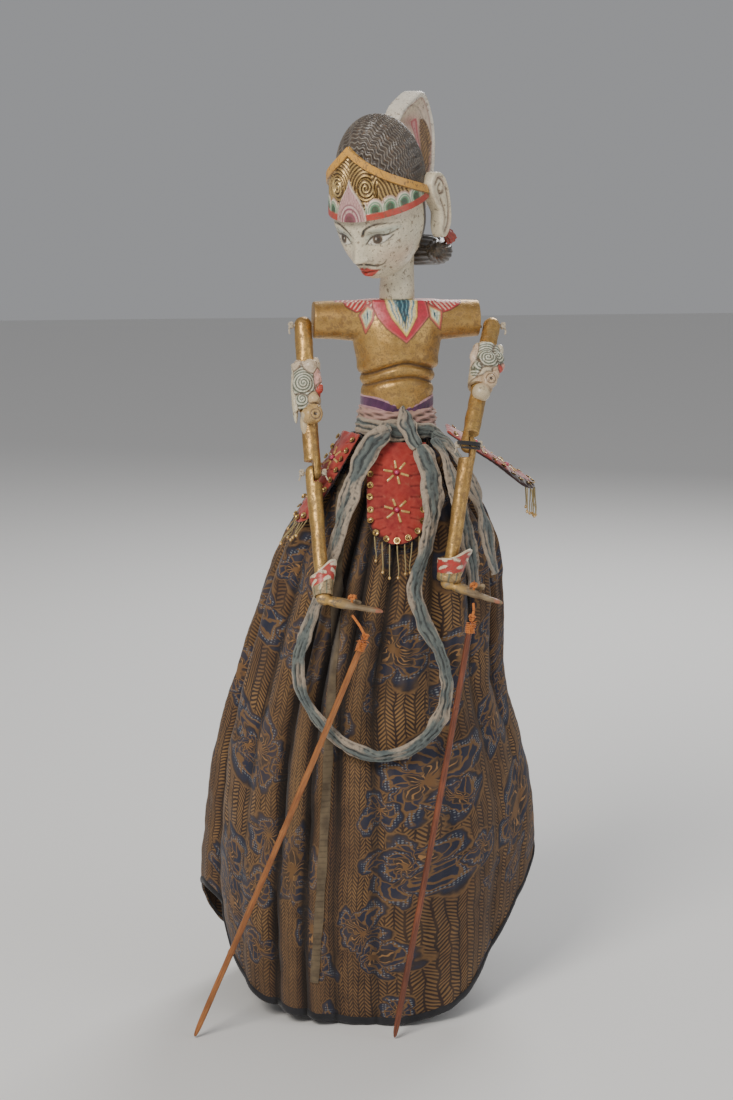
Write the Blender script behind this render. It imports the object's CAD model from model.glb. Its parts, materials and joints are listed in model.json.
# %% [markdown]
# # A rod puppet, from its frame to its finish
#
# The puppet is a carved and painted wooden figure. A stick runs up through it and carries the head.
# Each arm is tied on at the shoulder and again at the elbow, and a thin rod lifts each hand.
# The skirt is a printed cotton tube, tied round the waist under a sash and three stuffed flaps.
#
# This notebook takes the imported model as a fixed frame. The frame says where each part is and how it
# moves. Every cell adds one piece to it, or one finish.

# %% Load the frame
import json
from contextlib import contextmanager
from math import cos, pi, radians, sin

import bpy
import numpy as np
from mathutils import Matrix, Vector, noise


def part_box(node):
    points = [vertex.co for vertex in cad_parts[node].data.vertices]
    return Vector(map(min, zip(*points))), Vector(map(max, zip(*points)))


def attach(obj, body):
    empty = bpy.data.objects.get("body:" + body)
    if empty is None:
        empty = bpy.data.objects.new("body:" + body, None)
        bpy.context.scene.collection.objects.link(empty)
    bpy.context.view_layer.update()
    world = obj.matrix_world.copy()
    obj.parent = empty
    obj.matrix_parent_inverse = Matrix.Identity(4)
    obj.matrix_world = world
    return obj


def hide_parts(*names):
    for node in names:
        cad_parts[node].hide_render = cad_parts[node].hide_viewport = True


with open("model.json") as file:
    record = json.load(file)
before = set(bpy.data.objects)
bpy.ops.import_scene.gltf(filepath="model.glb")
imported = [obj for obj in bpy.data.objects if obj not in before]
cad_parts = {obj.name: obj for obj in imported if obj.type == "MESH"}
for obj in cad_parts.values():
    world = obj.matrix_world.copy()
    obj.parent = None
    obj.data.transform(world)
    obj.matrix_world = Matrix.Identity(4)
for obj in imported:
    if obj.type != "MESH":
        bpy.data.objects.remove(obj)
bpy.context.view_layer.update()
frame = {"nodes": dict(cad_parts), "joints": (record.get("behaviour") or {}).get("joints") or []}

MM = 0.001
JOINT = {joint["name"]: joint for joint in frame["joints"]}

# %% [markdown]
# ## Where things are
#
# Joint positions and node boxes are read from the frame, so that a piece lands where its joint turns.
# Sizes below are in millimetres, because that is how a carver thinks of them. A helper turns them into
# metres once a piece is finished.

# %% Points taken from the frame
SIDES = {"right": -1, "left": 1}


def joint_point(name):
    return Vector(JOINT[name]["pos_m"]) / MM


def node_box(node):
    low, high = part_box(node)
    return Vector(low) / MM, Vector(high) / MM


SHOULDER = {side: joint_point(f"{side}_shoulder_swing") for side in SIDES}
ELBOW = {side: joint_point(f"{side}_elbow") for side in SIDES}
STRING_PIVOT = {side: joint_point(f"{side}_rod_swing") for side in SIDES}
ROD_KNOT = {side: joint_point(f"{side}_rod_spread") for side in SIDES}
print("elbows", ELBOW)

# %% [markdown]
# ## Tools of the bench
#
# Most pieces here are made the way a carver or a seamstress would: a plain blank first, then many small
# moves. `block_copy` starts a piece from the frame's own solid, `remesh` rebuilds it from even squares, and
# `editing` opens edit mode on the whole mesh and closes it again.

# %% Helpers for objects and meshes
def only(obj):
    """Selects one object and nothing else."""
    deselect()
    obj.select_set(True)
    bpy.context.view_layer.objects.active = obj


def deselect():
    bpy.ops.object.select_all(action="DESELECT")


@contextmanager
def editing(obj):
    """Edit mode with everything selected, and object mode again afterwards."""
    only(obj)
    bpy.ops.object.mode_set(mode="EDIT")
    bpy.ops.mesh.select_all(action="SELECT")
    yield
    bpy.ops.object.mode_set(mode="OBJECT")


def named(name):
    """Gives the object that an operator has just made its name."""
    obj = bpy.context.object
    obj.name = name
    obj.data.name = name
    return obj


def points(obj):
    """The mesh's points as an array, in millimetres."""
    flat = np.empty(len(obj.data.vertices) * 3)
    obj.data.vertices.foreach_get("co", flat)
    return flat.reshape(-1, 3) / MM


def set_points(obj, array):
    obj.data.vertices.foreach_set("co", (array * MM).ravel())
    obj.data.update()


def normals(obj):
    flat = np.empty(len(obj.data.vertices) * 3)
    obj.data.vertex_normals.foreach_get("vector", flat)
    return flat.reshape(-1, 3)


def tell(*names):
    """Prints each finished piece's size in millimetres and its number of faces."""
    for name in names:
        piece = bpy.data.objects[name]
        print(name, np.round(np.ptp(points(piece), axis=0), 1), "mm,", len(piece.data.polygons), "faces")


def modifier(obj, kind, **settings):
    """Adds a modifier, sets it and applies it."""
    only(obj)
    bpy.ops.object.modifier_add(type=kind)
    added = obj.modifiers[-1]
    for key, value in settings.items():
        setattr(added, key, value)
    bpy.ops.object.modifier_apply(modifier=added.name)
    return obj


def outward(obj):
    """Merges doubled points and turns every face outwards."""
    with editing(obj):
        bpy.ops.mesh.remove_doubles(threshold=1e-6)
        bpy.ops.mesh.normals_make_consistent(inside=False)
    return obj


def smooth(obj, angle=60):
    only(obj)
    bpy.ops.object.shade_smooth_by_angle(angle=radians(angle))
    return obj


def join(name, pieces):
    deselect()
    for piece in pieces:
        piece.select_set(True)
    bpy.context.view_layer.objects.active = pieces[0]
    bpy.ops.object.join()
    return named(name)


def block_copy(node, name):
    """A blank in the exact shape of one of the frame's nodes."""
    source = frame["nodes"][node]
    obj = bpy.data.objects.new(name, source.data.copy())
    bpy.context.scene.collection.objects.link(obj)
    obj.data.materials.clear()
    return outward(obj)


def remesh(obj, cell, rounds=0):
    """Rebuilds the surface from even squares, then rubs it down."""
    modifier(obj, "REMESH", mode="VOXEL", voxel_size=cell * MM)
    if rounds:
        modifier(obj, "SMOOTH", factor=0.5, iterations=rounds)
    return obj


def rough(co, size, amount, seed=0.0):
    """Small unevenness, as left by a knife or by cloth."""
    shift = Vector((seed, seed * 0.7, -seed))
    return np.array([noise.noise(Vector(p) / size + shift) for p in co]) * amount


def store(obj, name, values):
    """Keeps numbers or colours on the mesh for a material to read."""
    values = np.asarray(values, dtype=np.float32)
    if values.ndim == 1:
        layer = obj.data.attributes.new(name, "FLOAT", "POINT")
        layer.data.foreach_set("value", values)
    else:
        full = np.ones((len(values), 4), dtype=np.float32)
        full[:, : values.shape[1]] = values
        layer = obj.data.attributes.new(name, "FLOAT_COLOR", "POINT")
        layer.data.foreach_set("color", full.ravel())


def store_bends(obj, rounds=3):
    """Where the surface bulges the stored number is above nought, and in a groove it is below."""
    mesh = obj.data
    pairs = np.empty(len(mesh.edges) * 2, dtype=np.int64)
    mesh.edges.foreach_get("vertices", pairs)
    pairs = pairs.reshape(-1, 2)
    co, out = points(obj), normals(obj)
    count = np.zeros(len(co))
    np.add.at(count, pairs.ravel(), 1)
    total = np.zeros_like(co)
    np.add.at(total, pairs[:, 0], co[pairs[:, 1]])
    np.add.at(total, pairs[:, 1], co[pairs[:, 0]])
    bend = -((total / count[:, None] - co) * out).sum(1)
    bend /= np.linalg.norm(co[pairs[:, 0]] - co[pairs[:, 1]], axis=1).mean()
    for _ in range(rounds):
        spread = np.zeros(len(co))
        np.add.at(spread, pairs[:, 0], bend[pairs[:, 1]])
        np.add.at(spread, pairs[:, 1], bend[pairs[:, 0]])
        bend = 0.5 * bend + 0.5 * spread / count
    store(obj, "bend", np.clip(bend * 4, -1, 1))


print("bench helpers ready, one unit is", MM, "m")

# %% [markdown]
# ## Drawing with distances
#
# Painted lines and petals are drawn on the points of a fine mesh. Each shape is a distance: how far a
# point is from a line, or from the edge of a petal. A brush mark is then everything closer than its
# width, with an edge a fraction of a millimetre soft.

# %% Helpers for painted shapes
def line_distance(flat, route, width=0.0):
    """How far each 2-D point is from a route of straight runs. Width may change along the route."""
    route = np.asarray(route, dtype=float)
    widths = np.interp(np.linspace(0, 1, len(route)), np.linspace(0, 1, np.size(width)), np.atleast_1d(width))
    best = np.full(len(flat), 1e9)
    for i in range(len(route) - 1):
        run = route[i + 1] - route[i]
        t = np.clip((flat - route[i]) @ run / max(run @ run, 1e-9), 0, 1)
        away = np.linalg.norm(flat - route[i] - t[:, None] * run, axis=1)
        best = np.minimum(best, away - (widths[i] + (widths[i + 1] - widths[i]) * t))
    return best


def shape_distance(flat, outline):
    """Distance to a closed outline, below nought inside it."""
    outline = np.asarray(outline, dtype=float)
    away = line_distance(flat, np.vstack([outline, outline[:1]]))
    inside = np.zeros(len(flat), dtype=bool)
    following = np.roll(outline, -1, axis=0)
    for (x0, y0), (x1, y1) in zip(outline, following):
        if y0 == y1:
            continue
        crosses = (flat[:, 1] < y0) != (flat[:, 1] < y1)
        inside ^= crosses & (flat[:, 0] < x0 + (flat[:, 1] - y0) * (x1 - x0) / (y1 - y0))
    return np.where(inside, -away, away)


def curve(knots, steps=10):
    """A smooth route through a few knots."""
    knots = np.asarray(knots, dtype=float)
    padded = np.vstack([2 * knots[0] - knots[1], knots, 2 * knots[-1] - knots[-2]])
    out = []
    for i in range(1, len(padded) - 2):
        a, b, c, d = padded[i - 1 : i + 3]
        for t in np.linspace(0, 1, steps, endpoint=False):
            out.append(0.5 * (2 * b + (c - a) * t + (2 * a - 5 * b + 4 * c - d) * t ** 2
                              + (3 * b - a - 3 * c + d) * t ** 3))
    out.append(knots[-1])
    return np.array(out)


def mask(distance, soft=0.35):
    return np.clip(0.5 - distance / (2 * soft), 0, 1)


def lay(colour, distance, paint, soft=0.35):
    """Lays a painted shape over what is there."""
    amount = mask(distance, soft)[:, None]
    colour += (np.array(paint) - colour) * amount


print("a soft edge of 1 mm is half covered at nought:", mask(np.zeros(1), 1.0))

# %% [markdown]
# ## Finishes
#
# A finish is a material made of nodes. What several finishes share is made once as a node group: fine
# specks, mottling, wood grain, weave and a twist. A group takes a position and gives back masks and
# heights, and each material decides what colour and shine they become.

# %% Helpers for node trees
def add(tree, kind, **sockets):
    """A node with its values set. Underscores in a name stand for spaces."""
    made = tree.nodes.new("ShaderNode" + kind)
    for name, value in sockets.items():
        if hasattr(made, name) and name not in made.inputs:
            setattr(made, name, value)
        else:
            plug(tree, made.inputs[name.replace("_", " ")], value)
    return made


def plug(tree, socket, value):
    """Sets a socket, or wires another node's output into it."""
    if isinstance(value, bpy.types.NodeSocket):
        tree.links.new(value, socket)
    elif isinstance(value, (tuple, list)) and len(value) == 3 and socket.type == "RGBA":
        socket.default_value = (*value, 1.0)
    else:
        socket.default_value = value


def math(tree, operation, first, second=0.0, third=0.0):
    made = tree.nodes.new("ShaderNodeMath")
    made.operation = operation
    for socket, value in zip(made.inputs, (first, second, third)):
        plug(tree, socket, value)
    return made.outputs[0]


def times(tree, first, second):
    return math(tree, "MULTIPLY", first, second)


def clamped(tree, value, most=1.0):
    return math(tree, "MINIMUM", math(tree, "MAXIMUM", value, 0.0), most)


def mix(tree, amount, under, over, how="MIX"):
    made = tree.nodes.new("ShaderNodeMix")
    made.data_type = "RGBA"
    made.blend_type = how
    made.clamp_factor = True
    plug(tree, made.inputs["Factor"], amount)
    plug(tree, made.inputs["A"], under)
    plug(tree, made.inputs["B"], over)
    return made.outputs["Result"]


def steps(tree, value, *stops):
    """A ramp. Each stop is a place and a grey level or a colour."""
    made = tree.nodes.new("ShaderNodeValToRGB")
    plug(tree, made.inputs["Fac"], value)
    ramp = made.color_ramp
    while len(ramp.elements) < len(stops):
        ramp.elements.new(0.5)
    for element, (place, level) in zip(ramp.elements, stops):
        element.position = place
        element.color = (*level, 1) if isinstance(level, tuple) else (level, level, level, 1)
    return made.outputs["Color"]


def attribute(tree, name, output="Fac"):
    made = tree.nodes.new("ShaderNodeAttribute")
    made.attribute_name = name
    return made.outputs[output]


def group(name, inputs, outputs):
    """An empty node group: inputs are (name, default), outputs are names."""
    tree = bpy.data.node_groups.new(name, "ShaderNodeTree")
    for label, default in inputs:
        kind = "NodeSocketVector" if label == "Vector" else "NodeSocketFloat"
        socket = tree.interface.new_socket(name=label, in_out="INPUT", socket_type=kind)
        if label != "Vector":
            socket.default_value = default
    for label in outputs:
        tree.interface.new_socket(name=label, in_out="OUTPUT", socket_type="NodeSocketFloat")
    inside = tree.nodes.new("NodeGroupInput")
    outside = tree.nodes.new("NodeGroupOutput")
    return tree, inside.outputs, outside.inputs


def use(tree, name, **sockets):
    """Places a shared group in a material and gives its outputs."""
    made = tree.nodes.new("ShaderNodeGroup")
    made.node_tree = bpy.data.node_groups[name]
    for label, value in sockets.items():
        plug(tree, made.inputs[label], value)
    return made.outputs


def material(name, **sockets):
    """A new material with its Principled shader's plain values set on the sockets."""
    made = bpy.data.materials.new(name)
    made.use_nodes = True
    tree = made.node_tree
    shader = tree.nodes["Principled BSDF"]
    for label, value in sockets.items():
        plug(tree, shader.inputs[label.replace("_", " ")], value)
    return made, tree, shader.inputs


def bump(tree, height, strength, distance, under=None):
    made = add(tree, "Bump", Strength=strength, Distance=distance * MM, Height=height)
    if under is not None:
        plug(tree, made.inputs["Normal"], under)
    return made.outputs["Normal"]


def place(tree, output="Object"):
    return tree.nodes.new("ShaderNodeTexCoord").outputs[output]


def wear_in(obj, finish):
    obj.data.materials.clear()
    obj.data.materials.append(finish)
    return obj


print("node helpers ready")

# %% [markdown]
# ## Shared surface effects
#
# `specks` breaks a coat of paint with pinholes and chips. `mottle` gives slow patches. `grain` streaks
# along Z as wood does. `weave` crosses two sets of threads on a UV map that is in metres.

# %% Shared node groups
def specks_group():
    tree, given, result = group("specks", [("Vector", None), ("Size", 3.0), ("Amount", 0.2)],
                                ["Mask", "Height"])
    scale = math(tree, "DIVIDE", 1000.0, given["Size"])
    spots = add(tree, "TexNoise", Vector=given["Vector"], Scale=scale, Detail=5.0, Roughness=0.65)
    level = math(tree, "SUBTRACT", 0.72, times(tree, given["Amount"], 0.35))
    found = math(tree, "SUBTRACT", spots.outputs["Fac"], level)
    sharp = clamped(tree, times(tree, found, 22.0), 1.0)
    tree.links.new(sharp, result["Mask"])
    tree.links.new(math(tree, "SUBTRACT", 1.0, sharp), result["Height"])


def mottle_group():
    tree, given, result = group("mottle", [("Vector", None), ("Size", 20.0)], ["Mask", "Fine"])
    slow = add(tree, "TexNoise", Vector=given["Vector"], Scale=math(tree, "DIVIDE", 1000.0, given["Size"]),
               Detail=4.0)
    quick = add(tree, "TexNoise", Vector=given["Vector"], Scale=math(tree, "DIVIDE", 6000.0, given["Size"]),
                Detail=6.0)
    tree.links.new(steps(tree, slow.outputs["Fac"], (0.36, 0.0), (0.64, 1.0)), result["Mask"])
    tree.links.new(steps(tree, quick.outputs["Fac"], (0.3, 0.0), (0.7, 1.0)), result["Fine"])


def grain_group():
    tree, given, result = group("grain", [("Vector", None), ("Size", 2.0)], ["Mask", "Height"])
    stretched = add(tree, "Mapping", Vector=given["Vector"], Scale=(1.0, 1.0, 0.06))
    lines = add(tree, "TexNoise", Vector=stretched.outputs[0],
                Scale=math(tree, "DIVIDE", 1000.0, given["Size"]),
                Detail=6.0, Roughness=0.7)
    tree.links.new(steps(tree, lines.outputs["Fac"], (0.35, 0.0), (0.65, 1.0)), result["Mask"])
    tree.links.new(lines.outputs["Fac"], result["Height"])


def weave_group():
    tree, given, result = group("weave", [("Vector", None), ("Pitch", 0.6)], ["Height", "Thread"])
    parts = add(tree, "SeparateXYZ", Vector=given["Vector"])
    turns = math(tree, "DIVIDE", 2000.0 * pi, given["Pitch"])
    across = math(tree, "SINE", times(tree, parts.outputs["X"], turns))
    down = math(tree, "SINE", times(tree, parts.outputs["Y"], turns))
    both = math(tree, "MULTIPLY_ADD", times(tree, across, down), 0.5, 0.5)
    uneven = add(tree, "TexNoise", Vector=given["Vector"], Scale=900.0, Detail=3.0)
    tree.links.new(both, result["Height"])
    tree.links.new(times(tree, both, uneven.outputs["Fac"]), result["Thread"])


for build in (specks_group, mottle_group, grain_group, weave_group):
    build()
print("node groups:", [tree.name for tree in bpy.data.node_groups])

# %% [markdown]
# ## Gold paint over carved wood
#
# The body and arms are carved from soft wood, sealed brown and painted with bronze powder. The gold has
# rubbed off where hands hold it and where pieces knock together, and old varnish lies brown in the
# grooves. The stored `bend` tells the material where those places are.

# %% Gold paint
def gold_paint(name, coloured=False):
    made, tree, into = material(name, Metallic=0.0, Roughness=0.4, Coat_Weight=0.12, Coat_Roughness=0.3)
    spot = place(tree)
    patches = use(tree, "mottle", Vector=spot, Size=26.0)
    chips = use(tree, "specks", Vector=spot, Size=4.0, Amount=0.54)
    broad = use(tree, "mottle", Vector=spot, Size=55.0)
    pits = use(tree, "specks", Vector=spot, Size=1.3, Amount=0.5)
    bend = attribute(tree, "bend")
    groove = clamped(tree, times(tree, bend, -1.6), 1.0)
    rubbed = steps(tree, times(tree, patches["Fine"], math(tree, "MAXIMUM", bend, 0.0)), (0.16, 0.0),
                   (0.34, 1.0))
    gold = mix(tree, patches["Mask"], (0.66, 0.41, 0.125), (0.50, 0.285, 0.080))
    gold = mix(tree, times(tree, patches["Fine"], 0.45), gold, (0.80, 0.54, 0.20))
    gold = mix(tree, times(tree, broad["Mask"], 0.5), gold, (0.33, 0.175, 0.055))
    brown = (0.085, 0.045, 0.022)
    lost = math(tree, "MAXIMUM", times(tree, chips["Mask"], 0.5), times(tree, pits["Mask"], 0.5))
    lost = math(tree, "MAXIMUM", lost, times(tree, groove, 0.85))
    lost = math(tree, "MAXIMUM", lost, times(tree, rubbed, 0.45))
    base = mix(tree, lost, gold, brown)
    metal = times(tree, math(tree, "SUBTRACT", 1.0, lost), 0.82)
    if coloured:
        cover = attribute(tree, "cover")
        chipped = times(tree, lost, 0.55)
        base = mix(tree, cover, base, mix(tree, chipped, attribute(tree, "paint", "Color"), brown))
        metal = times(tree, metal, math(tree, "SUBTRACT", 1.0, cover))
    plug(tree, into["Base Color"], base)
    plug(tree, into["Metallic"], metal)
    plug(tree, into["Roughness"], math(tree, "MULTIPLY_ADD", patches["Fine"], 0.16,
                                       math(tree, "MULTIPLY_ADD", lost, 0.2, 0.33)))
    height = math(tree, "MULTIPLY_ADD", chips["Height"], 0.6, times(tree, patches["Fine"], 0.5))
    plug(tree, into["Normal"], bump(tree, height, 0.35, 0.35))
    return made


# %% [markdown]
# ## Painted wood
#
# The face, the headdress and the carved bands are painted in flat colours. The colours themselves are
# drawn on the mesh as the attribute `paint`. This finish adds what years do to such paint: a yellowed
# gloss, fine cracks, chips down to the wood, and dirt in the grooves. The attribute `gilt` says where
# the paint is bronze powder.

# %% Painted wood
def painted_wood(name, wear, cracks):
    made, tree, into = material(name, Coat_Weight=0.25, Coat_Roughness=0.22)
    spot = place(tree)
    patches = use(tree, "mottle", Vector=spot, Size=16.0)
    chips = use(tree, "specks", Vector=spot, Size=3.4, Amount=wear)
    pits = use(tree, "specks", Vector=spot, Size=1.1, Amount=wear * 0.8)
    cells = add(tree, "TexVoronoi", Vector=spot, Scale=260.0, feature="DISTANCE_TO_EDGE")
    crack = steps(tree, cells.outputs["Distance"], (0.0, 1.0), (0.045, 0.0))
    crack = times(tree, crack, times(tree, patches["Mask"], cracks))
    bend = attribute(tree, "bend")
    groove = clamped(tree, times(tree, bend, -1.3), 1.0)
    paint = attribute(tree, "paint", "Color")
    gilt = attribute(tree, "gilt")
    aged = mix(tree, 0.42, paint, mix(tree, patches["Mask"], (0.93, 0.88, 0.74), (0.80, 0.70, 0.52)),
               "MULTIPLY")
    aged = mix(tree, times(tree, patches["Fine"], 0.24), aged, (0.33, 0.25, 0.15))
    aged = mix(tree, times(tree, groove, 0.6), aged, (0.07, 0.045, 0.03))
    lost = math(tree, "MAXIMUM", times(tree, chips["Mask"], 0.7), times(tree, pits["Mask"], 0.75))
    lost = math(tree, "MAXIMUM", lost, crack)
    plug(tree, into["Base Color"], mix(tree, lost, aged, (0.16, 0.10, 0.06)))
    plug(tree, into["Metallic"], times(tree, gilt, 0.72))
    plug(tree, into["Roughness"], math(tree, "MULTIPLY_ADD", lost, 0.3,
                                       math(tree, "MULTIPLY_ADD", patches["Fine"], 0.12, 0.36)))
    height = math(tree, "SUBTRACT", chips["Height"], crack)
    plug(tree, into["Normal"], bump(tree, height, 0.3, 0.25))
    return made


GOLD = gold_paint("gold_paint")
GOLD_AND_COLOURS = gold_paint("gold_and_colours", True)
PAINTED = painted_wood("painted_wood", 0.38, 0.5)
FACE_PAINT = painted_wood("face_paint", 0.42, 0.35)
print("finishes:", [m.name for m in bpy.data.materials][-3:])

# %% [markdown]
# ## The head's own frame
#
# The head is turned to the puppet's right and bent a little forward, so it is easier to carve it
# straight, in a frame of its own, and to seat it at the end. In that frame the face looks along -Y and
# the origin is at the top of the neck.

# %% Seat for everything carved on the head
HEAD_YAW, HEAD_PITCH, NECK_TOP = -38.0, 18.0, 545.0
HEAD = (Matrix.Rotation(radians(HEAD_YAW), 4, "Z") @ Matrix.Translation((0, 0, NECK_TOP))
        @ Matrix.Rotation(radians(HEAD_PITCH), 4, "X"))


def move_points(obj, matrix):
    turn, shift = np.array(matrix.to_3x3()), np.array(matrix.translation)
    set_points(obj, points(obj) @ turn.T + shift)


def seat_on_head(obj, finish):
    move_points(obj, HEAD)
    wear_in(smooth(obj), finish)
    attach(obj, "head")
    print(obj.name, len(obj.data.polygons), "faces")
    return obj


def ball_blank(name, cuts, centre, radii):
    """A cube blown up to a ball, so that its squares are even all over."""
    deselect()
    bpy.ops.mesh.primitive_cube_add(size=2 * MM)
    ball = named(name)
    bpy.ops.object.mode_set(mode="EDIT")
    bpy.ops.mesh.subdivide(number_cuts=cuts)
    bpy.ops.object.mode_set(mode="OBJECT")
    co = points(ball)
    co /= np.linalg.norm(co, axis=1)[:, None]
    set_points(ball, co * np.array(radii) + np.array(centre))
    return ball


def bell(value, middle, width):
    return np.exp(-((value - middle) / width) ** 2)


# %% [markdown]
# ## Face and neck
#
# The face is a plain, calm one on even proportions. The eyes are half way up the head, and the nose
# ends half way from brow to chin. It could be sculpted with brushes. Here each form is a small hill or
# hollow on an egg, added in code, so that it can be tuned by one number.

# %% Carve the face and the neck
def carve_face():
    egg = ball_blank("face", 40, (0, -14, 35), (31, 36, 44))
    deselect()
    bpy.ops.mesh.primitive_cylinder_add(vertices=64, radius=12.6 * MM, depth=48 * MM,
                                        location=(0, 0, 536.4 * MM))
    neck = named("neck")
    only(neck)
    bpy.ops.object.transform_apply(location=True)
    move_points(neck, HEAD.inverted())
    face = remesh(join("face", [egg, neck]), 0.8, 3)
    co = points(face)
    x, y, z = co.T
    level = (np.array(HEAD.to_3x3()) @ co.T).T[:, 2] + NECK_TOP
    front = mask(y + 16, 8) * mask(523 - level, 6)
    side = np.abs(x)
    jaw = np.clip((32 - z) / 42, 0, 1.1) ** 1.4 * mask(530 - level, 8)
    co[:, 0] *= 1 - 0.20 * jaw * mask(y + 2, 14)
    forward = 7.5 * bell(x, 0, 9.5) * bell(z, -4, 7)
    forward += 3.4 * bell(x, 0, 12) * bell(z, 6, 9)
    along_nose = np.clip((33 - z) / 21, 0, 1)
    nose = (0.8 + 8.6 * along_nose ** 1.35) * np.exp(-(x / (2.9 + 1.9 * along_nose)) ** 2)
    forward += nose * mask(11.2 - z, 1.8) * mask(z - 40, 7)
    forward += 2.3 * bell(side, 4.6, 2.3) * bell(z, 13.2, 2.4)
    forward -= 1.4 * bell(side, 2.3, 1.3) * bell(z, 10.2, 1.2)
    forward -= 3.8 * bell(side, 12.5, 8.5) * bell(z, 27.5, 5.2)
    forward += 3.0 * bell(side, 13.2, 5.8) * bell(z, 26.3, 3.4)
    forward += 1.5 * bell(side, 14, 10) * bell(z, 35.5, 3.0)
    forward -= 0.5 * bell(x, 0, 1.6) * bell(z, 7.6, 1.8)
    forward += 1.9 * bell(x, 0, 6.6) * bell(z, 4.4, 1.5)
    forward += 2.1 * bell(x, 0, 5.4) * bell(z, 0.6, 1.8)
    forward -= 1.3 * bell(x, 0, 7.5) * bell(z, 2.6, 0.65)
    forward -= 1.6 * bell(x, 0, 8) * bell(z, -2.8, 1.8)
    forward += 1.2 * bell(side, 17, 8) * bell(z, 14, 9)
    co[:, 1] -= forward * front
    set_points(face, co)
    modifier(face, "SMOOTH", factor=0.4, iterations=2)
    co = points(face)
    co += normals(face) * rough(co, 9.0, 0.22)[:, None]
    set_points(face, co)
    return face


CREAM, BLACK = (0.80, 0.74, 0.58), (0.012, 0.011, 0.012)


def paint_face(face):
    co = points(face)
    front = co[:, 1] < -18
    flat = np.column_stack([np.abs(co[:, 0]), co[:, 2]])
    colour = np.tile(CREAM, (len(co), 1))
    blush = bell(flat[:, 0], 19, 9) * bell(flat[:, 1], 12, 9) * front
    colour += blush[:, None] * np.array((0.05, -0.05, -0.05))
    almond = curve([(6.2, 25.0), (10, 28.6), (14.5, 29.8), (19, 29.0), (22.5, 28.3)])
    under = curve([(22.5, 28.3), (18, 24.9), (13, 23.2), (9, 23.7), (6.2, 25.0)])
    lid = curve([(5.6, 24.2), (9.8, 28.8), (14.5, 30.2), (19.5, 29.5), (26.5, 32.2)])
    shadow = np.vstack([lid, curve([(26, 34.6), (19, 35.6), (12, 35.2), (7, 31.0), (5.6, 27.0)])])
    strokes = [
        (shape_distance(flat, shadow), (0.62, 0.66, 0.56), 1.2),
        (shape_distance(flat, np.vstack([almond, under])), (0.86, 0.84, 0.76), 0.3),
        (np.maximum(np.linalg.norm(flat - (13.6, 27.0), axis=1) - 3.1,
                    shape_distance(flat, np.vstack([almond, under]))),
         (0.05, 0.028, 0.018), 0.3),
        (np.linalg.norm(flat - (13.6, 27.0), axis=1) - 1.4, BLACK, 0.3),
        (np.linalg.norm(flat - (12.7, 27.9), axis=1) - 0.45, (0.9, 0.9, 0.86), 0.25),
        (line_distance(flat, lid, (0.35, 0.85, 1.0, 0.7, 0.15)), BLACK, 0.3),
        (line_distance(flat, under, (0.5, 0.25, 0.2, 0.3)), BLACK, 0.3),
        (line_distance(flat, curve([(7.5, 31.2), (12, 32.6), (17, 32.6), (23, 33.2)]), (0.1, 0.28, 0.1)),
         (0.2, 0.17, 0.14), 0.3),
        (line_distance(flat, curve([(4.6, 31.0), (7.6, 35.6), (13, 38.2), (19, 38.2), (26.5, 36.2)]),
                       (0.9, 0.95, 0.75, 0.45, 0.1)),
         BLACK, 0.3),
        (line_distance(flat, curve([(1.2, 8.6), (4.5, 8.4), (8, 6.9), (12, 7.4), (15, 10.4)]),
                       (0.7, 1.0, 0.7, 0.35, 0.1)), BLACK, 0.3),
    ]
    painted = colour.copy()
    for away, shade, soft in strokes:
        lay(painted, away, shade, soft)
    lips = curve([(0, 5.4), (1.8, 6.3), (4.5, 5.2), (8.4, 3.2)])
    lower = curve([(8.4, 3.2), (5.4, 0.2), (2.5, -1.4), (0, -1.7)])
    lay(painted, shape_distance(flat, np.vstack([lips, lower, [(-1, -1.7), (-1, 5.4)]])), (0.60, 0.03, 0.025))
    lay(painted, line_distance(flat, curve([(0, 2.9), (4, 2.6), (8, 3.3)]), (0.35, 0.15)), (0.12, 0.01, 0.01))
    colour = np.where(front[:, None], painted, colour)
    level = (np.array(HEAD.to_3x3()) @ co.T).T[:, 2] + NECK_TOP
    hair = np.maximum(-8.0 - co[:, 1] + 0.16 * (co[:, 2] - 10), 8.0 - co[:, 2])
    lay(colour, np.maximum(hair, 551 - level), BLACK, 0.6)
    lay(colour, 42.5 - co[:, 2], BLACK, 0.5)
    store(face, "paint", colour)
    store(face, "gilt", np.zeros(len(co)))
    store_bends(face)


face = carve_face()
paint_face(face)
seat_on_head(face, FACE_PAINT)
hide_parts("head")
tell("face")

# %% [markdown]
# ## Diadem
#
# The diadem is a tall band that rises to a point over the brow. Its top edge is a broad yellow strip.
# Under that are carved locks of hair with two curls in bronze, then a row of green scallops, and at the
# middle a pink arch with a point. Such a relief could be built from dozens of small pieces. One fine
# sheet is closer to how it is made, because every form is cut out of the same surface.

# %% Carve the diadem
BAND_LOW, BAND_PEAK, BAND_SIDE, BAND_TURN = 43.0, 93.0, 57.0, 104.0


def band_top(turn):
    slope = np.abs(turn) / radians(90)
    return BAND_PEAK - (BAND_PEAK - BAND_SIDE) * np.clip(slope, 0, 1.2) ** 0.92


def band_point(turn, z, out):
    wide = 33.6 - 0.10 * (z - BAND_LOW) + out
    deep = 41.5 - 0.24 * (z - BAND_LOW) + out
    return np.column_stack([wide * np.sin(turn), -11 - deep * np.cos(turn), z])


def locks(s, z):
    """Carved hair: rings round each curl near the middle, and slanting locks towards the ear."""
    round_curl = np.hypot(s - 14, z - 64.5)
    slanting = (s - 24) * 0.86 + (z - 60) * 0.50 + 0.9 * np.sin((z - 50) / 3.1)
    blend = np.clip((s - 19) / 6, 0, 1)
    blend = blend * blend * (3 - 2 * blend)
    return (1 - blend) * round_curl + blend * slanting, round_curl


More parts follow.
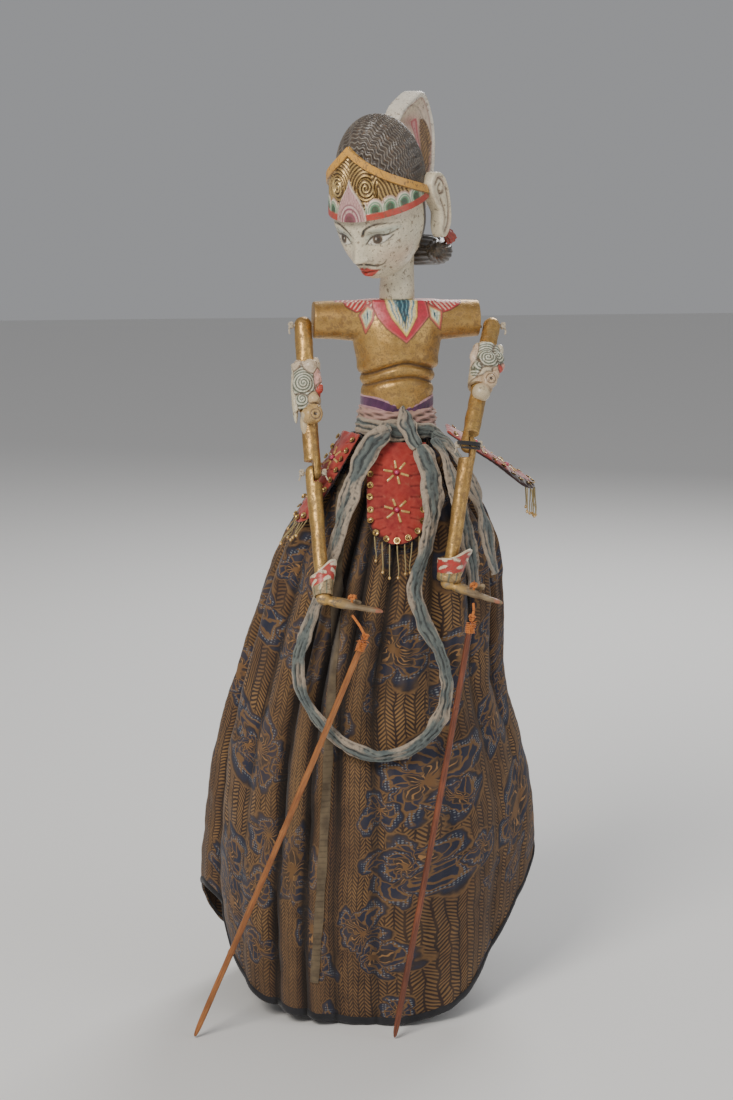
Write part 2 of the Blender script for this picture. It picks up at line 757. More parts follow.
def diadem_relief(s, z, top):
    """Height and colour of every point of the band, from its place along the band and up it."""
    s = np.abs(s)
    flat = np.column_stack([s, z])
    across, curl = locks(s, z)
    height = 0.55 * np.sin(across * 2 * pi / 2.5)
    colour = np.tile((0.60, 0.42, 0.17), (len(s), 1))
    dark = np.sin(across * 2 * pi / 2.5) < -0.35
    colour[dark] = (0.22, 0.13, 0.05)
    gilt = np.ones(len(s))
    angle = np.arctan2(z - 64.5, s - 14)
    spiral = np.abs((curl - 0.8 - (angle + pi) / (2 * pi) * 2.6) % 2.6 - 1.3)
    inside = curl < 6.6
    height = np.where(inside, 1.3 * np.clip(1.1 - spiral, 0, 1), height)
    colour[inside & (spiral < 0.8)] = (0.74, 0.56, 0.26)
    colour[inside & (spiral >= 0.8)] = (0.16, 0.09, 0.04)

    def area(away, rise, shade, shine=0.0, soft=0.3):
        nonlocal height, gilt
        amount = mask(away, soft)
        height = height * (1 - amount) + rise * amount
        gilt = gilt * (1 - amount) + shine * amount
        lay(colour, away, shade, soft)

    rim = 49.0
    nearest = 20.0 + 11.6 * np.round((s - 20.0) / 11.6)
    from_middle = np.hypot(s - nearest, (z - rim) * 0.92)
    for radius, rise, shade in ((7.2, 0.3, (0.62, 0.42, 0.36)), (6.3, 0.7, (0.86, 0.80, 0.68)),
                                (5.4, 0.9, (0.16, 0.34, 0.22)),
                                (4.4, 1.1, (0.84, 0.82, 0.70)), (4.0, 1.0, (0.10, 0.30, 0.17)),
                                (2.7, 0.8, (0.02, 0.09, 0.05))):
        area(np.maximum(from_middle - radius, 12.5 - s), rise, shade)
    area(np.maximum(z - 47.4, 9 - s), 1.3, (0.52, 0.045, 0.03))
    arch = curve([(0, 71.5), (2.2, 66), (6.4, 60.5), (10.2, 54.5), (12.4, 48.5), (13.0, 42.0)])
    arch = shape_distance(flat, np.vstack([[(-2, 42), (-2, 71.5)], arch]))
    area(arch, 1.8, (0.78, 0.66, 0.60))
    area(arch + 0.9, 1.9, (0.62, 0.38, 0.40))
    for radius, shade in ((9.4, (0.20, 0.05, 0.10)), (8.8, (0.72, 0.52, 0.52)), (7.6, (0.36, 0.10, 0.17)),
                          (6.4, (0.68, 0.46, 0.48)),
                          (5.2, (0.30, 0.07, 0.13)), (3.4, (0.16, 0.03, 0.06))):
        area(np.hypot(s, (z - 43) * 0.80) - radius, 2.1 + 0.25 * np.sin(radius * 2.4), shade)
    streaks = np.sin(s * 5.2 + 1.6 * np.sin(z / 2.0))
    lines = (arch < -1.2) & (np.hypot(s, (z - 43) * 0.8) > 9.6) & (streaks > 0.72)
    colour[lines] = (0.42, 0.20, 0.23)
    strip = z - top
    area(-strip - 6.8, 1.0, (0.30, 0.16, 0.05), 0.3)
    area(-strip - 6.0, 2.2, (0.78, 0.40, 0.06))
    ticks = (strip > -5.2) & (np.sin(s * 0.9 + 2 * np.sin(s * 0.37)) * np.sin(s * 2.3 + z) > 0.80)
    colour[ticks] = (0.25, 0.12, 0.04)
    return height, colour, gilt


def carve_diadem():
    deselect()
    bpy.ops.mesh.primitive_grid_add(x_subdivisions=300, y_subdivisions=88, size=2)
    band = named("diadem")
    across, up = (points(band) * MM)[:, 0], (points(band) * MM)[:, 1]
    turn = across * radians(BAND_TURN)
    top = band_top(turn)
    z = BAND_LOW + (up + 1) / 2 * (top - BAND_LOW)
    s = turn * 38.5
    height, colour, gilt = diadem_relief(s, z, top)
    set_points(band, band_point(turn, z, height))
    store(band, "paint", colour)
    store(band, "gilt", gilt)
    outward(band)
    if normals(band)[:, 1].mean() > 0:
        with editing(band):
            bpy.ops.mesh.flip_normals()
    store_bends(band, 1)
    modifier(band, "SOLIDIFY", thickness=4.5 * MM, offset=-1.0)
    return band


seat_on_head(carve_diadem(), PAINTED)
tell("diadem")

# %% [markdown]
# ## Hair cap
#
# Inside the diadem the hair is a smooth dome. It is cut with fine wavy grooves, and the ridges between
# them are rubbed pale. The waves come from one sine pushed to and fro by another.

# %% Carve the hair cap
def carve_hair_cap():
    dome = ball_blank("hair_cap", 84, (0, -5, 60), (30.5, 33, 43))
    with editing(dome):
        bpy.ops.mesh.bisect(plane_co=(0, 0, 40 * MM), plane_no=(0, 0, 1), clear_inner=True, use_fill=True)
    co = points(dome)
    fall = np.arctan2(np.abs(co[:, 0]), co[:, 2] - 55) * 34
    wave = co[:, 1] + 0.75 * np.sin(fall * 2 * pi / 7.0) + 0.15 * fall
    ridge = np.sin(wave * 2 * pi / 2.3)
    co += normals(dome) * (0.45 * ridge * mask(46 - co[:, 2], 3))[:, None]
    set_points(dome, co)
    pale = np.clip(ridge * 1.8 - 1.0, 0, 1)[:, None] * (0.45 + 0.55 * mask(rough(co, 14, 1.0, 2) - 0.1,
        0.4))[:, None]
    store(dome, "paint", (1 - pale) * np.array((0.035, 0.032, 0.036)) + pale * np.array((0.34, 0.32, 0.30)))
    store(dome, "gilt", np.zeros(len(co)))
    store_bends(dome, 1)
    return dome


seat_on_head(carve_hair_cap(), PAINTED)
tell("hair_cap")

# %% [markdown]
# ## Crest
#
# Behind the cap the hair is drawn up into one tall curved crest. It starts as a flat board sawn to the
# outline. The board is rebuilt from even squares and rubbed round, and hollows are then pushed into
# both of its sides.

# %% Saw out a board and round it
def board(name, outline, low, high, cell, rounds):
    """A board in the YZ plane, from low to high across X, with its edges rubbed round."""
    deselect()
    bpy.ops.mesh.primitive_circle_add(vertices=len(outline), radius=MM, fill_type="NGON")
    plank = named(name)
    set_points(plank, np.array([(low, y, z) for y, z in outline]))
    with editing(plank):
        bpy.ops.mesh.extrude_region_move(TRANSFORM_OT_translate={"value": ((high - low) * MM, 0, 0)})
    outward(plank)
    return remesh(plank, cell, rounds)


CREST = curve([(12, 84), (20, 93), (31, 98.5), (44, 101), (56, 101.5), (63, 95), (66.5, 80), (65.5, 64),
               (60, 48), (52, 34),
               (41, 22), (30, 17), (14, 24)], 4)


def carve_crest():
    crest = board("crest", CREST, -6.5, 6.5, 0.85, 6)
    co = points(crest)
    y, z = co[:, 1], co[:, 2]
    flat = np.column_stack([y, z])
    to_edge = -shape_distance(flat, CREST)
    side = np.sign(co[:, 0]) * np.clip(np.abs(co[:, 0]) / 2.5, 0, 1)
    hollow = curve([(20, 89), (33, 88), (44, 78), (50, 60), (46, 42)])
    away = line_distance(flat, hollow)
    into = 2.6 * bell(away, 0, 5.5) * mask(3.0 - to_edge, 2)
    into += 0.8 * bell(line_distance(flat, curve([(24, 95), (40, 96), (52, 88), (57, 68), (54, 48)])), 0, 1.1)
    co[:, 0] -= side * into
    co[:, 0] += side * 1.3 * bell(to_edge, 2.0, 1.6)
    set_points(crest, co)
    colour = np.tile((0.80, 0.66, 0.55), (len(co), 1))
    colour += bell(away, 0, 6)[:, None] * np.array((-0.10, -0.26, -0.20))
    lay(colour, 88 - z + 0.3 * (y - 30), (0.82, 0.70, 0.52), 5)
    leaf = np.vstack([curve([(24, 86), (31, 80), (33, 68), (29, 56)]),
                      curve([(29, 56), (22, 64), (21, 76), (24, 86)])])
    lay(colour, shape_distance(flat, leaf), (0.14, 0.30, 0.34), 0.5)
    veins = (shape_distance(flat, leaf) < 0) & (np.sin((z + 1.8 * y) * 2.1) > 0.55)
    colour[veins] = (0.45, 0.52, 0.48)
    red = curve([(40, 84), (46, 84), (47, 70), (43, 50), (38, 50), (40, 66)], 4)
    lay(colour, shape_distance(flat, red), (0.60, 0.10, 0.14), 0.4)
    lay(colour, shape_distance(flat, red) + 1.6, (0.80, 0.36, 0.38), 0.5)
    field = curve([(49, 83), (56, 80), (60, 66), (56, 48), (47, 34), (45, 48), (49, 66)], 4)
    lay(colour, shape_distance(flat, field), (0.10, 0.045, 0.025), 0.4)
    bars = (shape_distance(flat, field) < -0.7) & (np.sin((z - 0.9 * y) * 1.9) > 0.25)
    colour[bars] = (0.42, 0.26, 0.11)
    lay(colour, to_edge - 4.2, (0.86, 0.82, 0.74), 0.7)
    lay(colour, np.maximum(to_edge - 9, np.abs(to_edge - 4.9) - 0.35), (0.55, 0.30, 0.28), 0.3)
    store(crest, "paint", colour)
    store(crest, "gilt", np.zeros(len(co)))
    store_bends(crest)
    return crest


seat_on_head(carve_crest(), PAINTED)
tell("crest")

# %% [markdown]
# ## Ear ornaments
#
# A tall cream scroll stands over each ear. One is sawn, hollowed and edged with pink, and its mirror
# image goes on the other side. A mirrored mesh is inside out until its faces are turned round.

# %% Carve the ear ornaments
EAR = curve([(1, 52), (6, 57), (13, 56.5), (18.5, 50), (20.5, 40), (20, 28), (17, 17), (10, 10.5), (4.5, 12),
             (3.5, 20), (6, 29),
             (3, 37), (0.5, 45), (1, 52)], 4)[:-1]


def carve_ear_ornament(side):
    ear = board(f"{side}_ear_ornament", EAR, 29.0, 37.5, 0.7, 5)
    co = points(ear)
    flat = co[:, 1:]
    out = np.clip((co[:, 0] - 32) / 3, 0, 1)
    scroll = curve([(6, 50), (11, 53), (15.5, 48), (14, 42), (9.5, 42), (8.5, 46.5), (11, 48.5)])
    stem = curve([(17.5, 44), (17.5, 32), (14, 20), (9, 14.5)])
    inner = curve([(9.5, 38), (11.5, 30), (10, 22), (7.5, 17)])
    grooves = np.minimum(line_distance(flat, scroll), np.minimum(line_distance(flat, stem),
                                                                 line_distance(flat, inner)))
    co[:, 0] -= out * 2.0 * bell(grooves, 0, 1.25)
    co[:, 0] += out * 1.0 * bell(line_distance(flat, curve([(6.5, 32), (8, 26), (6.5, 20)])), 0, 2.2)
    co[:, 0] += 0.10 * (co[:, 1] - 10)
    set_points(ear, co)
    colour = np.tile((0.84, 0.77, 0.60), (len(co), 1))
    lay(colour, grooves - 0.7, (0.62, 0.44, 0.34), 0.5)
    rim = -shape_distance(flat, EAR)
    lay(colour, np.abs(rim - 2.6) - 0.4, (0.74, 0.58, 0.46), 0.3)
    store(ear, "paint", colour)
    store(ear, "gilt", np.zeros(len(co)))
    store_bends(ear)
    if SIDES[side] < 0:
        set_points(ear, points(ear) * np.array((-1, 1, 1)))
        outward(ear)
    return ear


for side in SIDES:
    seat_on_head(carve_ear_ornament(side), PAINTED)


tell("right_ear_ornament", "left_ear_ornament")

# %% [markdown]
# ## Hair roll and tassels
#
# The long hair is rolled up at the nape, a thick black crescent with strands cut along it. A grid is
# wrapped round the crescent's line, so that its long edges become the strands. A small red tassel hangs
# behind each ear.

# %% Wrap a grid round a line
def wrapped(name, route, sizes, around, along, flatten=1.0, strands=0, depth=0.0):
    """A closed roll round a smooth route. Sizes are its radii, spaced evenly along it."""
    line = curve(route, 12)
    run = np.concatenate([[0], np.cumsum(np.linalg.norm(np.diff(line, axis=0), axis=1))])
    t = np.linspace(0, 1, along)
    centre = np.column_stack([np.interp(t * run[-1], run, line[:, k]) for k in range(3)])
    radius = np.interp(t, np.linspace(0, 1, len(sizes)),
                       sizes) * np.sqrt(np.clip(1 - (2 * t - 1) ** 30, 0.0004, 1))
    ahead = np.gradient(centre, axis=0)
    ahead /= np.linalg.norm(ahead, axis=1)[:, None]
    deselect()
    bpy.ops.mesh.primitive_grid_add(x_subdivisions=around, y_subdivisions=along - 1, size=2)
    roll = named(name)
    grid = points(roll) * MM
    turn = (grid[:, 0] + 1) * pi
    row = np.clip(np.rint((grid[:, 1] + 1) / 2 * (along - 1)).astype(int), 0, along - 1)
    up = np.tile((0.0, 0.0, 1.0), (along, 1))
    up[np.abs(ahead[:, 2]) > 0.9] = (0.0, 1.0, 0.0)
    first = np.cross(ahead, up)
    first /= np.linalg.norm(first, axis=1)[:, None]
    second = np.cross(first, ahead)
    ripple = 1 + depth * np.cos(turn * strands + 3 * t[row]) if strands else 1.0
    r = radius[row] * ripple
    co = centre[row] + first[row] * (r * np.cos(turn) * flatten)[:,
                                                                 None] + second[row] * (r * np.sin(turn))[:,
                                                                     None]
    set_points(roll, co)
    return outward(roll)


def carve_hair_roll():
    roll = wrapped("hair_roll", [(-29, 6, 1), (-25, 17, -4), (-13, 26, -7), (0, 28, -8), (13, 26, -7),
                                 (25, 17, -4), (29, 6, 1)],
                   [5, 9.5, 10.5, 11, 10.5, 9.5, 5], 96, 90, 1.0, 16, 0.035)
    co = points(roll)
    store(roll, "paint", np.tile((0.014, 0.013, 0.014), (len(co), 1)))
    store(roll, "gilt", np.zeros(len(co)))
    store_bends(roll)
    return roll


seat_on_head(carve_hair_roll(), PAINTED)
for side, sign in SIDES.items():
    tassel = wrapped(f"{side}_ear_tassel", [(sign * 33, 15, 13), (sign * 34, 18, 8), (sign * 34, 20, 3)],
                     [1.5, 4.0, 5.2], 30, 14,
                     0.8, 9, 0.12)
    store(tassel, "paint", np.tile((0.36, 0.025, 0.02), (len(tassel.data.vertices), 1)))
    store(tassel, "gilt", np.zeros(len(tassel.data.vertices)))
    store_bends(tassel, 1)
    seat_on_head(tassel, PAINTED)


tell("hair_roll", "right_ear_tassel", "left_ear_tassel")

# %% [markdown]
# ## Trunk
#
# The body is one block: a round chest and belly with a stub for each shoulder. Two creases run across
# under the chest, with a soft roll between them. The blank is a copy of the frame's own block, rebuilt
# from even squares, and the creases are then cut into it along curved lines.

# %% Carve the trunk
CHEST_CREASE = curve([(-33, 457), (-20, 460.3), (-9, 464.5), (4, 467.4), (18, 464.5), (33, 459.5)])
BELLY_CREASE = curve([(-33, 449), (-20, 452.4), (-9, 455.8), (7, 457.6), (20, 454.8), (33, 449)])


def carve_trunk():
    trunk = remesh(block_copy("torso", "trunk"), 0.7, 4)
    co, out = points(trunk), normals(trunk)
    x, y, z = co.T
    flat = np.column_stack([x, z])
    body = mask(np.abs(x) - 37, 6) * mask(y - 3, 9)
    over_chest = z - np.interp(x, *CHEST_CREASE.T)
    over_belly = z - np.interp(x, *BELLY_CREASE.T)
    lift = -2.3 * bell(line_distance(flat, CHEST_CREASE), 0,
                       1.5) - 1.9 * bell(line_distance(flat, BELLY_CREASE), 0, 1.3)
    lift += 2.0 * bell(over_chest, 5, 4.5) + 1.6 * bell(over_chest, 14, 9) * bell(np.abs(x), 15, 12)
    lift += 1.3 * bell(over_belly, 5, 2.6) + 1.4 * bell(over_belly, -5, 4)
    lift += 1.8 * bell(z, 438, 10) * bell(x, 2, 17)
    lift -= 0.9 * bell(x, 3, 3.5) * bell(z, 478, 12)
    co += out * (lift * body + rough(co, 13, 0.35))[:, None]
    set_points(trunk, co)
    return modifier(trunk, "SMOOTH", factor=0.4, iterations=1)


print("crease points:", len(CHEST_CREASE), "and", len(BELLY_CREASE))

# %% [markdown]
# ## Painted collar
#
# A collar is painted over the chest and shoulders: a pointed tongue of blue, white and yellow rays
# edged in red, a small leaf beside it on each side, and red shoulder pieces slashed with cream. Each
# patch is an outline on the front of the chest. `coat` lays its colour and covers the gold.

# %% Paint the collar
TONGUE = [(-19.5, 515), (-19.1, 508), (-16.5, 501), (-10, 493), (3.9, 482.7), (20.8, 501), (19.8, 507),
          (17.5, 515)]
TONGUE_FIELD = [(-11, 515), (-9.5, 507), (-6.4, 500), (3.9, 487), (11.7, 501), (12.7, 515)]
TONGUE_CORE = [(-4.2, 515), (-1.4, 505), (3.1, 494), (5.7, 505), (6.6, 515)]
COLLAR_LEAVES = [[(-23.1, 509.5), (-18.1, 505.6), (-19.1, 499), (-24.6, 488.8), (-29.2, 502)],
                 [(19.8, 510.2), (30.9, 504.6), (29.4, 490.9), (21.3, 500)]]
SHOULDER_PIECES = [[(-42, 516), (-38, 508), (-31, 504), (-24, 506), (-16, 507), (-14, 516)],
                   [(14, 516), (19.8, 508.5), (31.4, 503.6), (36.4, 505), (44, 509), (49, 516)]]
COLLAR_RED, COLLAR_DARK, COLLAR_BLUE = (0.46, 0.035, 0.04), (0.07, 0.02, 0.015), (0.012, 0.06, 0.085)


def paint_collar(trunk):
    co = points(trunk)
    x, y, z = co.T
    flat = np.column_stack([x, np.where(z > 510.8, 511.5 + 0.45 * np.clip(y + 15, -2, 60), z)])
    on_front = np.where(y > 6, 30.0, 0.0) * (z < 510.8)
    colour, cover = np.zeros((len(co), 3)), np.zeros(len(co))

    def coat(away, shade, soft=0.3):
        nonlocal cover
        lay(colour, away, shade, soft)
        cover = np.maximum(cover, mask(away, soft))

    for outline in SHOULDER_PIECES:
        edge = shape_distance(flat, outline) + on_front
        edge = np.where(z > 510.8, np.maximum(np.abs(x) - 45, 0.1 - np.hypot(x, y) + 10), edge)
        coat(edge - 0.6, COLLAR_DARK)
        coat(edge, COLLAR_RED)
        slash = np.sin((np.abs(x) * 1.0 + 0.9 * (flat[:, 1] - 505)) * 2 * pi / 3.3)
        coat(np.maximum(edge + 0.9, 0.45 - slash), (0.78, 0.56, 0.42), 0.25)
    for outline in COLLAR_LEAVES:
        edge = shape_distance(flat, outline) + on_front
        middle = np.mean(outline, axis=0)
        spread = np.arctan2(x - middle[0], z - middle[1] + 14) * 9
        coat(edge - 0.5, COLLAR_DARK)
        coat(edge, (0.52, 0.10, 0.07))
        coat(edge + 1.3, (0.66, 0.55, 0.22))
        coat(edge + 2.2, (0.30, 0.42, 0.34))
        coat(np.maximum(edge + 1.9, 0.2 - np.sin(spread * 5)), (0.70, 0.70, 0.52), 0.25)
        coat(np.maximum(edge + 3.4, 0.1 - np.sin(spread * 4 + 2)), COLLAR_BLUE, 0.3)
    edge = shape_distance(flat, TONGUE) + on_front
    field = shape_distance(flat, TONGUE_FIELD) + on_front
    core = shape_distance(flat, TONGUE_CORE) + on_front
    ray = np.sin((x - 3.6) / np.clip(z - 478, 5, 60) * 62 + 0.8 * np.sin(z * 0.7))
    coat(edge - 0.6, COLLAR_DARK)
    coat(edge, (0.62, 0.12, 0.11))
    coat(edge + 1.0, (0.50, 0.03, 0.05))
    coat(field - 0.4, COLLAR_DARK)
    coat(field, (0.76, 0.52, 0.13))
    coat(field + 1.6, (0.66, 0.68, 0.60), 0.8)
    coat(np.maximum(field + 0.8, 0.5 - ray), (0.80, 0.62, 0.22), 0.25)
    coat(np.maximum(field + 2.0, 0.35 + ray), (0.10, 0.20, 0.24), 0.25)
    coat(core, COLLAR_BLUE, 0.5)
    coat(np.maximum(core + 0.9, 0.75 - ray), (0.16, 0.34, 0.38), 0.25)
    set_points(trunk, co + normals(trunk) * (0.35 * mask(edge, 0.5))[:, None])
    store(trunk, "paint", colour)
    store(trunk, "cover", cover)
    store_bends(trunk)


def finish_piece(obj, finish, body, slot, *nodes, angle=60):
    """Gives a finished piece its material, its body, its slot and the nodes that it stands for."""
    wear_in(smooth(obj, angle), finish)
    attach(obj, body)
    if nodes:
        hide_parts(*nodes)
    print(obj.name, len(obj.data.polygons), "faces on", body)
    return obj


trunk = carve_trunk()
paint_collar(trunk)
finish_piece(trunk, GOLD_AND_COLOURS, "torso", "gilded_wood", "torso")

# %% [markdown]
# ## Arms
#
# Each arm is two whittled sticks. They lie side by side at the elbow, each cut away to half its
# thickness, and a cord ties them. A knife leaves long flat facets, so the copies of the frame's blocks
# get slow dents along their length and small ones across.

# %% Whittle the arms
def whittle(node):
    limb = remesh(block_copy(node, f"{node}_wood"), 0.55, 3)
    co = points(limb)
    slow = co * np.array((1, 1, 0.35))
    co += normals(limb) * (rough(slow, 6, 0.45, 3) + rough(co, 3, 0.14, 8))[:, None]
    set_points(limb, co)
    store_bends(limb, 2)
    return limb


for side in SIDES:
    for part in ("upper_arm", "forearm"):
        finish_piece(whittle(f"{side}_{part}"), GOLD, f"{side}_{part}", "gilded_wood", f"{side}_{part}")


tell("right_upper_arm_wood", "right_forearm_wood", "left_upper_arm_wood", "left_forearm_wood")

# %% [markdown]
# ## Armlets
#
# A carved and painted armlet sits round each upper arm: a ruffle above, a scrolled leaf in grey-green
# lines with a red edge, and a snail-like knob below. Clay sculptors build such a form from pellets and
# blend them. Here the pellets are balls pressed onto a copy of the frame's ring, and the voxel remesh
# does the blending.

# %% A limb's own directions
WRIST = {side: (lambda b: (b[0] + b[1]) / 2)(node_box(f"{side}_wrist_dowel")) for side in SIDES}


def limb_axes(side, start, end):
    """Down the limb, to its outer side, and to its front."""
    down = (end - start).normalized()
    front = (Vector((0, -1, 0)) + down * down.y).normalized()
    outer = down.cross(front).normalized()
    if outer.x * SIDES[side] < 0:
        outer = -outer
    return np.array(down), np.array(outer), np.array(front)


def pellets(name, origin, axes, lumps, cell, rounds, extra=()):
    """Balls at (down, outer, front) with radii in the same order, blended into one form."""
    made = list(extra)
    for i, (at, radii) in enumerate(lumps):
        ball = ball_blank(f"{name}_{i}", 7, (0, 0, 0), radii)
        set_points(ball, points(ball) @ np.array(axes) + np.array(origin) + np.array(at) @ np.array(axes))
        made.append(ball)
    return remesh(join(name, made), cell, rounds)


CREAM_PAINT, GREY_GREEN, PALE_GREEN = (0.78, 0.72, 0.56), (0.13, 0.17, 0.14), (0.55, 0.60, 0.50)
ACCENT_RED, DULL_GOLD = (0.56, 0.03, 0.02), (0.56, 0.37, 0.15)
# place and radii along (down, outer, front), colour, and whether scroll lines are cut in it
ARMLET_FORMS = {
    "right": [
        ((3, -2, 7.5), (5, 4, 3.5), (0.72, 0.60, 0.46), False),
        ((2, 5.5, 4), (4.5, 3.5, 3.5), (0.72, 0.60, 0.46), False),
        ((1, -7, 3), (5, 3, 3), (0.74, 0.64, 0.50), False), ((16, 3.5, 6), (9.5, 7, 5), PALE_GREEN, True),
        ((14, -7, 4), (7.5, 3.4, 4.5), (0.74, 0.40, 0.36), False),
        ((19, -8, 5), (4.5, 3, 3.6), ACCENT_RED, False),
        ((27, 5, 6), (5.5, 4.5, 4), PALE_GREEN, True), ((27, -3.5, 7.5), (4, 4, 3.5), (0.66, 0.50, 0.30),
                                                        False),
        ((24, 9.5, -1), (19, 2.2, 4), (0.74, 0.68, 0.52), False),
        ((38, -3.5, 9), (7, 5.6, 4.6), DULL_GOLD, False),
        ((44, 4, 3), (8, 3, 3), (0.62, 0.50, 0.32), False),
    ],
    "left": [
        ((1, 8.5, 2), (7.5, 3.2, 4.5), CREAM_PAINT, False), ((9, 6, 6), (6, 6.5, 4.5), PALE_GREEN, True),
        ((14, -1, 8), (8.5, 6.5, 4), PALE_GREEN, True), ((20, -5, 6), (6, 4, 4), PALE_GREEN, True),
        ((13, 11, 3.5), (4.6, 3.2, 4), (0.72, 0.36, 0.30), False),
        ((17, 9, 6), (3.2, 3.6, 3), ACCENT_RED, False),
        ((10, -9, 2), (5.5, 3, 3.6), (0.76, 0.60, 0.48), False),
        ((23, 6.5, 6.5), (4.5, 4.5, 4), (0.70, 0.52, 0.36), False),
        ((31, 3.5, 9.5), (6.6, 5.8, 5), (0.66, 0.50, 0.34), False),
        ((24, 1, 7), (6, 5, 4), (0.74, 0.66, 0.50), False),
    ],
}
ARMLET_START = {"right": 28.0, "left": 21.0}


def carve_armlet(side):
    axes = limb_axes(side, SHOULDER[side], ELBOW[side])
    origin = np.array(SHOULDER[side]) + axes[0] * ARMLET_START[side]
    forms = ARMLET_FORMS[side]
    armlet = pellets(f"{side}_armlet_carving", origin, axes, [form[:2] for form in forms], 0.45, 3,
                     [block_copy(f"{side}_armlet", f"{side}_ring")])
    co = points(armlet)
    local = (co - origin) @ np.array(axes).T
    sizes = np.array([np.linalg.norm((local - np.array(at)) / np.array(radii), axis=1) for at, radii, _,
                      _ in forms])
    nearest, order = sizes.argmin(0), np.sort(sizes, axis=0)
    colour = np.array([form[2] for form in forms])[nearest]
    colour[order[0] > 1.7] = (0.62, 0.52, 0.36)
    cut = np.array([form[3] for form in forms])[nearest] & (order[0] < 1.7)
    centre = np.array([form[0] for form in forms])[nearest]
    across, along = local[:, 1] - centre[:, 1], local[:, 0] - centre[:, 0]
    swirl = np.hypot(across, along) + np.arctan2(along, across) * 2.0 / (2 * pi)
    line = np.sin(swirl * 2 * pi / 2.0)
    depth = np.where(cut, -0.35 * (line < -0.1), 0.0)
    colour[cut & (line < -0.1)] = GREY_GREEN
    colour[cut & (line > 0.75)] = (0.82, 0.80, 0.68)
    seam = mask((order[1] - order[0]) - 0.13, 0.08)
    depth -= 0.45 * seam
    colour += seam[:, None] * 0.75 * (np.array((0.12, 0.07, 0.05)) - colour)
    knob = np.array(forms[9 if side == "right" else 8][0])
    spiral = np.linalg.norm((local - knob - np.array((1.0, 0, 4.4)))[:, :2], axis=1)
    on_knob = (nearest == (9 if side == "right" else 8)) & (local[:, 2] > knob[2])
    depth -= np.where(on_knob, 1.6 * bell(spiral, 0, 1.3) + 0.35 * bell(spiral, 3.6, 0.6), 0)
    colour[on_knob & (spiral < 1.3)] = (0.07, 0.05, 0.04)
    colour[on_knob & (np.abs(spiral - 3.6) < 0.4)] = (0.24, 0.15, 0.09)
    set_points(armlet, co + normals(armlet) * (depth + rough(co, 3.5, 0.2))[:, None])
    store(armlet, "paint", colour)
    store(armlet, "gilt", np.zeros(len(co)))
    store_bends(armlet)
    return armlet


for side in SIDES:
    finish_piece(carve_armlet(side), PAINTED, f"{side}_upper_arm", "painted_wood", f"{side}_armlet")

# %% [markdown]
# ## Bracelets
#
# At the wrist the wood flares into a cuff. Its upper rim rises on one side to the tip of a leaf that is
# painted with flames. A grid is rolled into the cuff, its upper edge is drawn out into the leaf, and
# Solidify gives it a wall.

# %% Carve the bracelets
BRACELET_TIP = {"right": (0.75, -0.65, 0.25), "left": (0.9, -0.42, 0.3)}


def carve_bracelet(side):
    axes = limb_axes(side, WRIST[side], ELBOW[side])
    up = axes[0]
    tip = np.array(BRACELET_TIP[side])
    first = tip - up * (tip @ up)
    first /= np.linalg.norm(first)
    second = np.cross(up, first)
    deselect()
    bpy.ops.mesh.primitive_grid_add(x_subdivisions=120, y_subdivisions=48, size=2)
    cuff = named(f"{side}_bracelet_carving")
    grid = points(cuff) * MM
    turn, level = grid[:, 0] * pi, (grid[:, 1] + 1) / 2
    leaf = bell(turn, 0, 0.85)
    rise = level * (14.5 + 9.5 * leaf)
    radius = 5.6 + 2.4 * np.sqrt(level) + 4.6 * leaf * level ** 1.6 + 0.5 * bell(level, 0.08, 0.08)
    flame = np.sin(turn * 5.5 + 2.4 * np.sin(rise * 0.42)) + 0.7 * np.sin(rise * 1.25 + 2 * np.abs(turn))
    radius += 0.28 * (flame > 0.2) * (level < 0.96)
    co = np.array(WRIST[side]) + up * (rise - 1.0)[:, None]
    co = co + first * (radius * np.cos(turn))[:, None] + second * (radius * np.sin(turn))[:, None]
    red, pale = ((0.52, 0.02, 0.02), (0.82, 0.72, 0.56))
    colour = np.where((flame > (0.9 if side == "left" else 0.55))[:, None], pale, red)
    low = level < 0.45 if side == "right" else level < 0.3
    colour[low] = (0.50, 0.38, 0.22) if side == "right" else (0.54, 0.36, 0.14)
    colour[low & (np.sin(turn * 9) > 0.8)] = (0.20, 0.22, 0.15)
    if side == "right":
        green = (turn > 0.35) & (level > 0.45) & (np.abs(turn) < 2.4)
        colour[green] = np.where((flame > 0.3)[:, None], (0.74, 0.68, 0.50), (0.26, 0.30, 0.20))[green]
    colour[level > 0.93] = pale
    set_points(cuff, co)
    store(cuff, "paint", colour)
    store(cuff, "gilt", np.where(low, 0.6, 0.0))
    outward(cuff)
    store_bends(cuff, 1)
    return modifier(cuff, "SOLIDIFY", thickness=1.5 * MM, offset=-1.0)


for side in SIDES:
    finish_piece(carve_bracelet(side), PAINTED, f"{side}_forearm", "painted_wood", f"{side}_bracelet")


tell("right_bracelet_carving", "left_bracelet_carving")

# %% [markdown]
# ## Hands
#
# A hand is a flat mitten with four fingers held together and the thumb beside them. Most of its paint
# has gone and grey wood shows. Palm, fingers and thumb are pellets again, longer ones, laid along the
# hand's own line, and grooves between the fingers are left where they meet.

